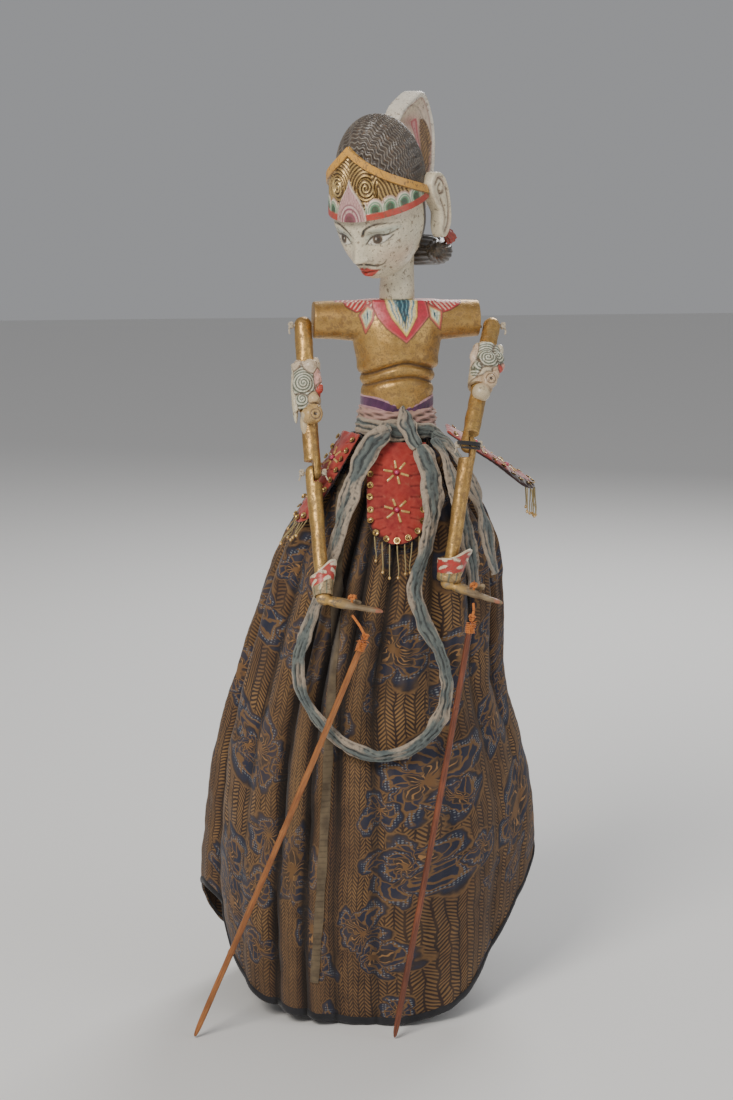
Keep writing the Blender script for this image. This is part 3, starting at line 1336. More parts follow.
# %% Carve the hands
def worn_wood():
    made, tree, into = material("worn_wood", Roughness=0.6, Coat_Weight=0.05)
    spot = place(tree)
    patches = use(tree, "mottle", Vector=spot, Size=14.0)
    streaks = use(tree, "grain", Vector=add(tree, "Mapping", Vector=spot,
                                            Rotation=(0.0, radians(80), 0.0)).outputs[0], Size=1.2)
    chips = use(tree, "specks", Vector=spot, Size=4.0, Amount=0.75)
    grey = mix(tree, streaks["Mask"], (0.27, 0.190, 0.105), (0.12, 0.078, 0.042))
    grey = mix(tree, patches["Mask"], grey, (0.35, 0.26, 0.150))
    gold = times(tree, chips["Mask"], attribute(tree, "gilt"))
    base = mix(tree, gold, grey, (0.60, 0.38, 0.13))
    base = mix(tree, attribute(tree, "cover"), base, (0.42, 0.13, 0.07))
    plug(tree, into["Base Color"], base)
    plug(tree, into["Metallic"], times(tree, gold, 0.7))
    plug(tree, into["Roughness"], math(tree, "MULTIPLY_ADD", streaks["Mask"], 0.2, 0.45))
    plug(tree, into["Normal"], bump(tree, streaks["Height"], 0.3, 0.3))
    return made


WORN = worn_wood()


def carve_hand(side):
    low, high = node_box(f"{side}_hand")
    wrist = np.array(WRIST[side])
    tip = np.array((high.x, low.y + 6.0, low.z + 2.4))
    heel = wrist + (wrist - np.array(ELBOW[side])) / np.linalg.norm(wrist - np.array(ELBOW[side])) * 3.4
    run = np.linalg.norm(tip - heel)
    along = (tip - heel) / run
    across = np.cross(along, (0, 0, 1.0))
    across /= np.linalg.norm(across)
    rise = np.cross(across, along)
    lumps = [((0, 0, 0.6), (5.4, 5.0, 4.6)), ((run * 0.26, 0, 0), (run * 0.28, 5.8, 3.7)),
             ((run * 0.44, 0, -0.2), (run * 0.2, 5.6, 3.0))]
    for i in range(4):
        reach = run * (0.97, 1.0, 0.99, 0.93)[i]
        for step in range(7):
            t = 0.5 + 0.47 * step / 6
            at = (reach * t, (i - 1.5) * 2.35 * (1 - 0.25 * step / 6), 0.5 * (step / 6) ** 2 - 0.3)
            lumps.append((at, (3.6, 1.5 - 0.25 * step / 6, 2.0 - 0.6 * step / 6)))
    lift = 3.4 if side == "left" else 1.2
    for step in range(6):
        t = step / 5
        at = (run * (0.34 + 0.26 * t), -5.4 - 1.2 * sin(t * pi), 1.0 + lift * t * t)
        lumps.append((at, (3.2, 1.9 - 0.4 * t, 1.9 - 0.3 * t)))
    if side == "left":
        lumps.append(((run * 0.62, -4.2, 6.0), (2.0, 1.6, 1.9)))
    hand = pellets(f"{side}_hand_carving", heel, (along, across, rise), lumps, 0.42, 2)
    co = points(hand)
    local = (co - heel) @ np.array((along, across, rise)).T
    nails = np.sin(local[:, 1] * 2 * pi / 2.35) * mask(run * 0.5 - local[:, 0], 4)
    co += normals(hand) * (0.12 * nails + rough(co, 4, 0.25))[:, None]
    set_points(hand, co)
    store(hand, "gilt", mask(local[:, 0] - run * 0.3, 6))
    store(hand, "cover", 0.75 * mask(run * 0.86 - local[:, 0], 2.5) * (rough(co, 3, 1.0) > -0.2))
    store_bends(hand)
    return hand


for side in SIDES:
    finish_piece(carve_hand(side), WORN, f"{side}_forearm", "worn_wood", f"{side}_hand")


tell("right_hand_carving", "left_hand_carving")

# %% [markdown]
# ## Cords and knots
#
# Cotton cord ties the shoulders and elbows, and orange string ties each palm to its rod. A twisted cord
# is a grid rolled round a route, with a ripple for each strand that turns as it goes along. A knot is
# the same roll, taken round a trefoil and pulled small.

# %% Cord finish and knots
def twisted_fibre(name, colour, dark, rough_value=0.85):
    made, tree, into = material(name, Roughness=rough_value, Sheen_Weight=0.2)
    spot = place(tree)
    patches = use(tree, "mottle", Vector=spot, Size=7.0)
    fibre = add(tree, "TexNoise", Vector=spot, Scale=2600.0, Detail=4.0)
    bend = attribute(tree, "bend")
    shade = math(tree, "MINIMUM", math(tree, "MAXIMUM", math(tree, "MULTIPLY_ADD", bend, -0.9, 0.15), 0.0),
                 1.0)
    base = mix(tree, times(tree, patches["Fine"], 0.6), colour, dark)
    plug(tree, into["Base Color"], mix(tree, shade, base, tuple(c * 0.3 for c in dark)))
    plug(tree, into["Normal"], bump(tree, fibre.outputs["Fac"], 0.5, 0.2))
    return made


JOINT_CORD = twisted_fibre("joint_cord", (0.56, 0.48, 0.36), (0.30, 0.23, 0.15))
BLACK_CORD = twisted_fibre("black_cord", (0.022, 0.020, 0.022), (0.012, 0.011, 0.012))
ORANGE_STRING = twisted_fibre("orange_string", (0.62, 0.20, 0.035), (0.30, 0.075, 0.015))
FRINGE_THREAD = twisted_fibre("fringe_thread", (0.40, 0.31, 0.14), (0.20, 0.14, 0.06))


def twisted(name, route, radius, per_mm=2.2, strands=3):
    length = sum((Vector(b) - Vector(a)).length for a, b in zip(route, route[1:]))
    rope = wrapped(name, route, [radius, radius], 12, max(8, int(length * per_mm)), 1.0, strands, 0.16)
    return rope


def knot(name, centre, size, radius, face=(0, -1, 0)):
    """A tight overhand knot: a trefoil pressed flat against what it lies on."""
    out = Vector(face).normalized()
    side = out.orthogonal().normalized()
    up = out.cross(side)
    route = []
    for i in range(19):
        t = 2 * pi * i / 18
        flat = (sin(t) + 2 * sin(2 * t), cos(t) - 2 * cos(2 * t), -1.6 * sin(3 * t))
        route.append(tuple(Vector(centre) + (side * flat[0] + up * flat[1] + out * flat[2]) * size / 3))
    return wrapped(name, route, [radius, radius], 10, 70, 1.0, 3, 0.14)


def bound(name, parts, finish, body, slot, *nodes):
    piece = join(name, parts) if len(parts) > 1 else parts[0]
    piece.name = name
    store_bends(piece, 1)
    return finish_piece(piece, finish, body, slot, *nodes)


# %% Tie the shoulders and elbows
for side, sign in SIDES.items():
    top, elbow = SHOULDER[side], ELBOW[side]
    low, high = node_box(f"{side}_shoulder_cord")
    inner, outer = (low.x, high.x) if sign > 0 else (high.x, low.x)
    bound(f"{side}_shoulder_tie", [twisted(f"{side}_tie",
                                           [(inner, top.y, top.z), ((inner + outer) / 2, top.y - 0.3, top.z),
                                                             (outer, top.y, top.z)], 1.0)],
          JOINT_CORD, f"{side}_shoulder", "joint_cord", f"{side}_shoulder_cord")
    end = top + Vector((sign * 8.6, 0, 0))
    tail = [tuple(end + Vector((0, -0.6, 0))), tuple(end + Vector((sign * 1.4, -1.8, -3.0))),
            tuple(end + Vector((sign * 1.0, -2.4, -6.0)))]
    bound(f"{side}_shoulder_stop", [twisted(f"{side}_reach",
                                            [tuple(top + Vector((sign * 4, 0, 0))), tuple(end)], 0.9),
                                    knot(f"{side}_stop", end, 2.1, 0.85, (sign, 0, 0)),
                                    twisted(f"{side}_tail", tail, 0.6)],
          JOINT_CORD, f"{side}_upper_arm", "joint_cord", f"{side}_shoulder_knot")
    reach = 8.0
    ends = [Vector((elbow.x + way * reach, elbow.y, elbow.z)) for way in (-1, 1)]
    parts = [twisted(f"{side}_through", [tuple(ends[0]), tuple(ends[1])], 0.9)]
    for i, point in enumerate(ends):
        parts.append(knot(f"{side}_knot_{i}", point, 2.0, 0.85, (1, 0, 0)))
        drop = Vector(((-1) ** (i + 1) * 1.2, -1.6, -2.4))
        parts.append(twisted(f"{side}_end_{i}", [tuple(point), tuple(point + drop),
                                                 tuple(point + drop * 2.1)], 0.55))
    bound(f"{side}_elbow_tie", parts, JOINT_CORD, f"{side}_forearm", "joint_cord", f"{side}_elbow_cord")


tell("right_shoulder_tie", "right_elbow_tie", "left_shoulder_tie", "left_elbow_tie")

# %% [markdown]
# At the left elbow a black cord is also wound twice round both sticks. It is one helix, a little
# uneven, because the turns were pulled tight by hand.

# %% Wind the left elbow
axes = limb_axes("left", ELBOW["left"], WRIST["left"])
turns = []
for i in range(29):
    t = i / 28
    angle = 2 * pi * 2.4 * t
    away = (7.6 + 0.25 * sin(9 * t)) * axes[1] * cos(angle) + 7.1 * axes[2] * sin(angle)
    turns.append(tuple(np.array(ELBOW["left"]) + away + axes[0] * (-2.4 + 4.6 * t + 0.5 * sin(angle * 0.5))))
winding = wrapped("left_elbow_winding", turns, [0.8, 1.0, 0.8], 12, 260, 1.0, 3, 0.14)
store_bends(winding, 1)
finish_piece(winding, BLACK_CORD, "left_forearm", "joint_cord")
tell("left_elbow_winding")

# %% [markdown]
# ## Hand rods and their strings
#
# Each rod is a split length of bamboo, oiled orange-brown on the right and darker on the left. Bamboo
# has straight fibres, a few low nodes and a flat where it was split. A string runs from the palm to the
# head of the rod, where orange thread is wound round and its loose ends stick out.

# %% Rods, strings and bindings
def bamboo(name, light, dark, place_rotation):
    made, tree, into = material(name, Roughness=0.42, Coat_Weight=0.15, Coat_Roughness=0.35)
    line = add(tree, "Mapping", Vector=place(tree), Rotation=place_rotation)
    fibre = use(tree, "grain", Vector=line.outputs[0], Size=0.9)
    patches = use(tree, "mottle", Vector=line.outputs[0], Size=30.0)
    base = mix(tree, fibre["Mask"], light, dark)
    base = mix(tree, times(tree, patches["Mask"], 0.55), base, tuple(c * 0.55 for c in dark))
    bend = attribute(tree, "bend")
    base = mix(tree, clamped(tree, times(tree, bend, -1.2), 1.0), base, (0.05, 0.02, 0.01))
    plug(tree, into["Base Color"], base)
    plug(tree, into["Roughness"], math(tree, "MULTIPLY_ADD", fibre["Mask"], 0.18, 0.34))
    plug(tree, into["Normal"], bump(tree, fibre["Height"], 0.35, 0.15))
    return made


ROD_COLOURS = {"right": ((0.50, 0.20, 0.055), (0.24, 0.075, 0.018)),
               "left": ((0.30, 0.085, 0.032), (0.10, 0.025, 0.012))}


def rod_line(side):
    """The rod's head and foot, read from its box and its knot."""
    low, high = node_box(f"{side}_hand_rod")
    knot_at = ROD_KNOT[side]
    foot_x = low.x + 2.1 if knot_at.x > (low.x + high.x) / 2 else high.x - 2.1
    foot = Vector((foot_x, low.y + 2.1, low.z + 0.8))
    down = (foot - knot_at).normalized()
    return knot_at + down * 2.7, foot, down


def split_rod(side):
    head, foot, down = rod_line(side)
    knots = [tuple(head.lerp(foot, t)) for t in np.linspace(0, 1, 9)]
    rod = wrapped(f"{side}_rod_cane", knots, [2.15, 2.1, 2.2, 2.05, 2.15, 2.1], 28, 420)
    co = points(rod)
    axis = np.array(down)
    t = (co - np.array(head)) @ axis
    centre = np.array(head) + t[:, None] * axis
    away = co - centre
    front = np.array((0.25, -0.95, 0.1))
    flat = (away @ front) - 1.55
    co -= np.clip(flat, 0, 1)[:, None] * front * 0.8
    swelling = sum(bell(t, at, 1.3) for at in (62, 148, 241)) * 0.32
    co += away * (swelling / 2.1 + rough(co * np.array((1, 1, 0.2)), 3, 0.05, 4))[:, None]
    co += np.outer(0.8 * np.sin(t / 95) * np.clip(t / 40, 0, 1) * np.clip((300 - t) / 60, 0, 1), (1, 0, 0))
    set_points(rod, co)
    store_bends(rod, 2)
    light, dark = ROD_COLOURS[side]
    turn = down.to_track_quat("Z", "Y").inverted().to_euler()
    return finish_piece(rod, bamboo(f"{side}_bamboo", light, dark, tuple(turn)), f"{side}_hand_rod",
                        "hand_rod_wood", f"{side}_hand_rod")


def tufts(name, root, spread, count, length, radius, seed):
    """Loose ends of string that stick out from a knot."""
    random = np.random.default_rng(seed)
    parts = []
    for i in range(count):
        lean = np.array(spread) + random.normal(0, 0.55, 3)
        lean /= np.linalg.norm(lean)
        droop = np.array((0, 0, -1.0)) * random.uniform(0.1, 0.6)
        reach = length * random.uniform(0.6, 1.0)
        route = [tuple(np.array(root) + lean * reach * t + droop * reach * t * t) for t in (0, 0.35, 0.7,
            1.0)]
        parts.append(wrapped(f"{name}_{i}", route, [radius, radius * 0.8, radius * 0.5], 6, 9))
    return parts


for side, sign in SIDES.items():
    split_rod(side)
    head, foot, down = rod_line(side)
    palm, knot_at = STRING_PIVOT[side], ROD_KNOT[side]
    middle = palm.lerp(knot_at, 0.5) + Vector((0.6, -0.8, 0))
    bound(f"{side}_palm_string", [twisted(f"{side}_string_run", [tuple(palm), tuple(middle), tuple(knot_at)],
                                          0.9),
                                  knot(f"{side}_string_end", knot_at, 2.1, 0.85)],
          ORANGE_STRING, f"{side}_string", "orange_string", f"{side}_rod_string")
    low, high = node_box(f"{side}_string_knot")
    on_palm = Vector(((low.x + high.x) / 2, (low.y + high.y) / 2, high.z - 2.3))
    under = on_palm - Vector((0, 0, 8.8))
    parts = [knot(f"{side}_palm_knot", on_palm, 2.2, 0.85, (0, 0, 1)),
             twisted(f"{side}_through_palm", [tuple(on_palm), tuple(under)], 0.85)]
    parts += tufts(f"{side}_palm_tuft", on_palm, (0.5, -0.3, 0.5), 5, 5.5, 0.42, 3 + sign)
    bound(f"{side}_palm_stop", parts, ORANGE_STRING, f"{side}_forearm", "orange_string",
          f"{side}_string_knot")
    first, second = down.orthogonal().normalized(), None
    second = down.cross(first)
    winding = []
    for i in range(61):
        t = i / 60
        angle = 2 * pi * 5.2 * t
        winding.append(tuple(head + down * (1.2 + 6.8 * t) + (first * cos(angle) + second * sin(angle))
                             * 2.75))
    parts = [wrapped(f"{side}_thread", winding, [0.6, 0.68, 0.6], 10, 380, 1.0, 2, 0.12)]
    parts += tufts(f"{side}_rod_tuft", tuple(head + down * 2), (0.3 * sign, -0.8, 0.5), 9, 9.0, 0.42,
                   11 + sign)
    bound(f"{side}_rod_winding", parts, ORANGE_STRING, f"{side}_hand_rod", "orange_string",
          f"{side}_rod_binding")


tell("right_rod_cane", "right_palm_string", "left_rod_cane", "left_palm_string")

# %% [markdown]
# ## Skirt
#
# The skirt is a printed cotton tube. It is gathered tight at the waist, so the cloth stands in folds
# that start narrow and spread out towards the hem. The hem is low in front and behind and high at the
# sides. Cloth simulation would lose the outline that the frame gives, so the folds are made in code on
# one fine grid rolled round the skirt's own rows, and they only ever go inwards from it.

# %% The skirt's shape as one function
SKIRT_ROWS = curve([
    (421, 0, 27, 22), (412, 0, 33, 26.5), (400, -1, 42, 32), (384, -2, 54, 39), (340, -5, 80, 51),
    (296, -11, 91, 60),
    (235, -20, 102, 72), (186, -20, 116, 83), (130, -19, 125, 93), (85, -21, 126, 98), (0.5, -21, 121, 101),
])[::-1]
HEM_LINE = curve([(-160, 150), (-147, 82), (-133, 38), (-107, 14), (-60, 3.5), (-18, 1.5), (34, 12),
                  (67, 40), (90, 73),
                  (107, 115), (120, 160)])
WAIST, FOLDS, CLOTH_WIDE, CLOTH_LONG = 420.6, 19, 740.0, 445.0


def row_at(z):
    return [np.interp(z, SKIRT_ROWS[:, 0], SKIRT_ROWS[:, k]) for k in (1, 2, 3)]


def hem_height(turn):
    z = np.full(np.shape(turn), 60.0)
    for _ in range(25):
        middle, half_x, _ = row_at(z)
        z = 0.5 * z + 0.5 * np.interp(middle + half_x * np.sin(turn), *HEM_LINE.T)
    return z


def fold_phase(turn, t):
    """Which fold a point is in, and how far across it."""
    bent = turn + 0.13 * np.sin(2 * turn + 0.8) + 0.08 * np.sin(5 * turn + 2.1) + 0.07 * np.sin(3 * turn
        + 2.5 * t)
    place_in = (bent + pi) / (2 * pi) * FOLDS
    return np.floor(place_in), place_in - np.floor(place_in)


def cloth_point(turn, t, outside=0.0):
    """A point of the folded skirt: turn is nought in front, t goes from the waist to the hem."""
    turn, t = np.broadcast_arrays(np.asarray(turn, float), np.asarray(t, float))
    low = hem_height(turn)
    z = WAIST + (low - WAIST) * t
    middle, half_x, half_y = row_at(z)
    index, within = fold_phase(turn, t)
    random = np.random.default_rng(7)
    deep, lasting = random.uniform(0.45, 1.15, FOLDS + 1), random.uniform(0.15, 1.1, FOLDS + 1)
    deep[-1], lasting[-1] = deep[0], lasting[0]
    valley = np.clip(np.rint(index + within), 0, FOLDS).astype(int)
    size = np.interp(t, (0, 0.05, 0.16, 0.42, 0.72, 1.0), (1.1, 5.0, 12.5, 14.5, 10.0, 8.0))
    kept = np.interp(t, (0.25, 0.7), (1, 0))
    size = size * deep[valley] * (kept + (1 - kept) * lasting[valley])
    depth = size * np.abs(2 * within - 1) ** 2.2
    depth = depth + 0.45 * np.interp(t, (0, 0.2), (1, 2.2)) * (1
                                                               + np.sin(turn * 46 + 6 * np.sin(3 * turn) + 5
                                                                   * t)) * np.interp(t, (0, 0.35, 0.6),
                                                                       (1, 0.7, 0.25))
    broad = np.interp(t, (0.35, 1.0), (0, 1))
    depth = depth + 4.2 * broad * (1 + np.sin(6 * turn + 1.3 + 1.6 * np.sin(2.2 * t)))
    depth = depth + 1.0 * broad * (1 + np.sin(11 * turn + 4 * t + 1.5 * np.sin(2 * turn)))
    out_x, out_y = np.sin(turn) / half_x, -np.cos(turn) / half_y
    size = np.hypot(out_x, out_y)
    depth = np.minimum(depth, 0.42 * half_y)
    x = middle + half_x * np.sin(turn) + out_x / size * (outside - depth)
    y = -half_y * np.cos(turn) + out_y / size * (outside - depth)
    return np.stack([x, y, z], axis=-1)


def cloth_across(turn, t):
    """Where a point is along the cut cloth: even on a fold's face, hurried through the gap behind it."""
    low = hem_height(turn)
    _, half_x, half_y = row_at(WAIST + (low - WAIST) * t)
    round_waist = 2 * pi * np.sqrt((half_x ** 2 + half_y ** 2) / 2) * 1.06
    index, within = fold_phase(turn, t)
    return (index + 0.5) * CLOTH_WIDE / FOLDS + (within - 0.5) * np.minimum(round_waist, CLOTH_WIDE) / FOLDS


def set_uv(obj, across, along):
    """Stores a UV map in metres from one value for each point."""
    corner = np.empty(len(obj.data.loops), dtype=np.int64)
    obj.data.loops.foreach_get("vertex_index", corner)
    layer = obj.data.uv_layers.active or obj.data.uv_layers.new(name="UVMap")
    layer.data.foreach_set("uv", (np.column_stack([across[corner], along[corner]]) * MM).ravel())


def grid_piece(name, columns, rows):
    deselect()
    bpy.ops.mesh.primitive_grid_add(x_subdivisions=columns, y_subdivisions=rows, size=2)
    piece = named(name)
    flat = points(piece) * MM
    return piece, flat[:, 0], (1 - flat[:, 1]) / 2


def face_outwards(obj, probe):
    """Turns an open sheet so that its faces point the way of the probe."""
    if (normals(obj) * probe).sum(1).mean() < 0:
        with editing(obj):
            bpy.ops.mesh.flip_normals()


# %% Make the skirt
def sew_skirt():
    skirt, side_to_side, t = grid_piece("gathered_skirt", 266, 150)
    turn = side_to_side * pi
    co = cloth_point(turn, t)
    wrinkle = rough(co, 16, 1.1, 2) + rough(co, 6, 0.35, 5)
    way = np.column_stack([np.sin(turn), -np.cos(turn), np.zeros(len(turn))])
    co = co - way * np.clip(0.6 + wrinkle, 0, 3)[:, None]
    set_points(skirt, co)
    set_uv(skirt, cloth_across(turn, t), t * CLOTH_LONG)
    face_outwards(skirt, way)
    with editing(skirt):
        bpy.ops.mesh.remove_doubles(threshold=1e-6)
    store_bends(skirt, 4)
    return modifier(skirt, "SOLIDIFY", thickness=0.7 * MM, offset=-1.0)


# %% [markdown]
# ## Batik
#
# The cotton is wax-printed in gold-brown, near-black and navy. Upright columns about a centimetre wide
# are filled with slanting strokes that meet in Vs. Large flowers and leaves interrupt them, navy inside
# with orange-brown veins, and lines of white dots run along their edges. All of it is drawn from the UV
# map, which is in metres, so the print keeps one size wherever the cloth folds.

# %% Batik material
def batik():
    made, tree, into = material("batik_cotton", Roughness=0.9, Sheen_Weight=0.12)
    uv = place(tree, "UV")
    wander = add(tree, "TexNoise", Vector=uv, Scale=60.0, Detail=2.0)
    pushed = tree.nodes.new("ShaderNodeVectorMath")
    pushed.operation = "MULTIPLY_ADD"
    plug(tree, pushed.inputs[0], wander.outputs["Color"])
    pushed.inputs[1].default_value = (0.005, 0.004, 0.0)
    plug(tree, pushed.inputs[2], uv)
    drawn = pushed.outputs[0]
    ragged = add(tree, "TexNoise", Vector=uv, Scale=42.0, Detail=3.0)
    torn = tree.nodes.new("ShaderNodeVectorMath")
    torn.operation = "MULTIPLY_ADD"
    plug(tree, torn.inputs[0], ragged.outputs["Color"])
    torn.inputs[1].default_value = (0.034, 0.028, 0.0)
    plug(tree, torn.inputs[2], uv)
    loose = torn.outputs[0]
    parts = add(tree, "SeparateXYZ", Vector=drawn)
    column = times(tree, parts.outputs["X"], 1000 / 10.5)
    within = math(tree, "SUBTRACT", math(tree, "FRACT", column), 0.5)
    to_edge = times(tree, math(tree, "ABSOLUTE", within), 2.0)
    rows = times(tree, parts.outputs["Y"], 1000 / 3.1)
    phase = math(tree, "FRACT", math(tree, "SUBTRACT", rows, times(tree, to_edge, 1.9)))
    stroke = math(tree, "SUBTRACT", math(tree, "ABSOLUTE", math(tree, "SUBTRACT", phase, 0.5)), 0.25)
    stroke = steps(tree, math(tree, "MULTIPLY_ADD", stroke, 4.0, 0.5), (0.35, 0.0), (0.65, 1.0))
    border = steps(tree, to_edge, (0.86, 1.0), (0.93, 0.0))
    spine = steps(tree, to_edge, (0.04, 0.0), (0.12, 1.0))
    stroke = times(tree, times(tree, stroke, border), spine)
    patches = use(tree, "mottle", Vector=uv, Size=46.0)
    gold = mix(tree, patches["Mask"], (0.235, 0.128, 0.045), (0.105, 0.052, 0.021))
    gold = mix(tree, times(tree, patches["Fine"], 0.45), gold, (0.36, 0.20, 0.075))
    ground = mix(tree, patches["Fine"], (0.016, 0.009, 0.008), (0.034, 0.015, 0.010))
    broad = use(tree, "mottle", Vector=uv, Size=95.0)
    gold = mix(tree, times(tree, broad["Mask"], 0.62), gold, (0.062, 0.026, 0.012))
    base = mix(tree, stroke, ground, gold)

    def blossoms(under, per_metre, shift, big, petals, seed):
        """Flowers scattered one to a cell. Each has its own size and turn."""
        moved = add(tree, "Mapping", Vector=loose, Location=shift)
        cells = add(tree, "TexVoronoi", Vector=moved.outputs[0], Scale=per_metre, Randomness=0.8,
                    voronoi_dimensions="2D")
        away = tree.nodes.new("ShaderNodeVectorMath")
        away.operation = "SUBTRACT"
        plug(tree, away.inputs[0], moved.outputs[0])
        plug(tree, away.inputs[1], cells.outputs["Position"])
        local = add(tree, "SeparateXYZ", Vector=away.outputs[0])
        own = add(tree, "SeparateXYZ", Vector=cells.outputs["Color"])
        x, y = local.outputs["X"], local.outputs["Y"]
        length = times(tree, math(tree, "SQRT", math(tree, "ADD", times(tree, x, x), times(tree, y, y))),
                       1000.0)
        angle = math(tree, "ADD", math(tree, "ARCTAN2", y, x), times(tree, own.outputs["X"], 6.28))
        lobes = math(tree, "ABSOLUTE", math(tree, "COSINE", times(tree, angle, petals / 2)))
        shape = math(tree, "MULTIPLY_ADD", math(tree, "POWER", lobes, 0.6), 0.52, 0.48)
        longer = math(tree, "MULTIPLY_ADD", math(tree, "COSINE", math(tree, "ADD", angle, seed)), 0.22, 1.0)
        reach = times(tree, times(tree, shape, longer), math(tree, "MULTIPLY_ADD", own.outputs["Y"],
                                                             big * 0.5, big * 0.55))
        share = math(tree, "DIVIDE", length, reach)
        there = math(tree, "GREATER_THAN", own.outputs["Z"], 0.12)

        def region(limit, soft=0.03):
            inside = steps(tree, times(tree, share, 0.5), ((limit - soft) / 2, 1.0),
                           ((limit + soft) / 2, 0.0))
            return times(tree, inside, there)

        vein = math(tree, "SINE", math(tree, "ADD", times(tree, angle, petals * 3.0),
                                       times(tree, length, 0.5)))
        vein = steps(tree, math(tree, "MULTIPLY_ADD", vein, 0.5, 0.5), (0.80, 0.0), (0.92, 1.0))
        rings = steps(tree, math(tree, "MULTIPLY_ADD", math(tree, "SINE", times(tree, share, 19.0)), 0.5,
                                 0.5), (0.86, 0.0), (0.95, 1.0))
        over = mix(tree, region(1.11), under, (0.15, 0.078, 0.030))
        over = mix(tree, region(1.04), over, (0.020, 0.014, 0.016))
        over = mix(tree, region(0.98), over, (0.011, 0.017, 0.040))
        over = mix(tree, times(tree, region(0.9), math(tree, "MAXIMUM", vein, rings)), over,
                   (0.15, 0.078, 0.030))
        over = mix(tree, region(0.40), over, (0.025, 0.018, 0.020))
        over = mix(tree, times(tree, region(0.36), vein), over, (0.30, 0.155, 0.055))
        over = mix(tree, region(0.16), over, (0.16, 0.078, 0.028))
        dots = add(tree, "TexVoronoi", Vector=drawn, Scale=520.0, Randomness=0.15, voronoi_dimensions="2D")
        dot = steps(tree, dots.outputs["Distance"], (0.24, 1.0), (0.34, 0.0))
        rim = math(tree, "SUBTRACT", region(0.88), region(0.76))
        return mix(tree, times(tree, math(tree, "MAXIMUM", rim, 0.0), dot), over, (0.15, 0.165, 0.18))

    base = blossoms(base, 13.0, (0.0, 0.0, 0.0), 41.0, 5.0, 0.6)
    base = blossoms(base, 17.0, (0.33, 0.21, 0.0), 19.0, 3.0, 2.1)
    bend = attribute(tree, "bend")
    worn = times(tree, math(tree, "MAXIMUM", bend, 0.0), 0.5)
    base = mix(tree, math(tree, "MINIMUM", worn, 0.28), base, (0.30, 0.18, 0.08))
    hollow = clamped(tree, times(tree, bend, -2.0), 0.88)
    base = mix(tree, hollow, base, (0.008, 0.005, 0.004))
    back = tree.nodes.new("ShaderNodeNewGeometry")
    base = mix(tree, times(tree, back.outputs["Backfacing"], 0.4), base, (0.16, 0.10, 0.06))
    threads = use(tree, "weave", Vector=uv, Pitch=0.7)
    base = mix(tree, times(tree, threads["Thread"], 0.16), base, (0.20, 0.125, 0.07))
    plug(tree, into["Base Color"], base)
    crumple = add(tree, "TexNoise", Vector=place(tree), Scale=110.0, Detail=5.0)
    soft = bump(tree, crumple.outputs["Fac"], 0.5, 1.6)
    plug(tree, into["Normal"], bump(tree, threads["Height"], 0.25, 0.15, soft))
    return made


BATIK = batik()
skirt = finish_piece(sew_skirt(), BATIK, "torso", "patterned_cotton", "skirt", angle=75)
tell("gathered_skirt")

# %% [markdown]
# ## Hem tape, facing and drawstring
#
# Black tape is folded over the raw hem. A pale strip faces the front opening, held by two rows of
# stitches. Both are narrow grids laid on the skirt by the same function, so they follow each fold.

# %% Cloth finish for plain pieces
def plain_cloth(name, light, dark, pitch=0.6, size=12.0, creased=1.0, sheen=0.2):
    made, tree, into = material(name, Roughness=0.88, Sheen_Weight=sheen)
    spot = place(tree)
    threads = use(tree, "weave", Vector=place(tree, "UV"), Pitch=pitch)
    patches = use(tree, "mottle", Vector=spot, Size=size)
    bend = attribute(tree, "bend")
    base = mix(tree, patches["Mask"], light, dark)
    base = mix(tree, times(tree, threads["Thread"], 0.3), base, tuple(min(1, c * 1.5) for c in light))
    hollow = clamped(tree, times(tree, bend, -1.3), 0.8)
    base = mix(tree, hollow, base, tuple(c * 0.25 for c in dark))
    plug(tree, into["Base Color"], base)
    crumple = add(tree, "TexNoise", Vector=spot, Scale=260.0, Detail=4.0)
    soft = bump(tree, crumple.outputs["Fac"], 0.35 * creased, 0.6)
    plug(tree, into["Normal"], bump(tree, threads["Height"], 0.3, 0.12, soft))
    return made


BLACK_TAPE = plain_cloth("black_tape", (0.016, 0.015, 0.018), (0.008, 0.008, 0.010), 0.5)
PALE_FACING = plain_cloth("pale_facing", (0.15, 0.108, 0.060), (0.075, 0.052, 0.030), 0.8, 9.0)


def bind_hem():
    tape, side_to_side, across = grid_piece("hem_tape", 266, 6)
    turn = side_to_side * pi
    low = hem_height(turn)
    drop = across * 5.5
    t = 1 - (5.5 - drop) / (WAIST - low)
    swell_out = 0.9 * np.sqrt(np.clip(1 - (2 * across - 1) ** 2, 0, 1))
    set_points(tape, cloth_point(turn, t, -0.4 + swell_out) + np.array((0, 0, -0.3)))
    set_uv(tape, side_to_side * CLOTH_WIDE / 2, drop)
    face_outwards(tape, np.column_stack([np.sin(turn), -np.cos(turn), turn * 0]))
    with editing(tape):
        bpy.ops.mesh.remove_doubles(threshold=1e-6)
    store_bends(tape, 1)
    return modifier(tape, "SOLIDIFY", thickness=2.4 * MM, offset=-1.0)


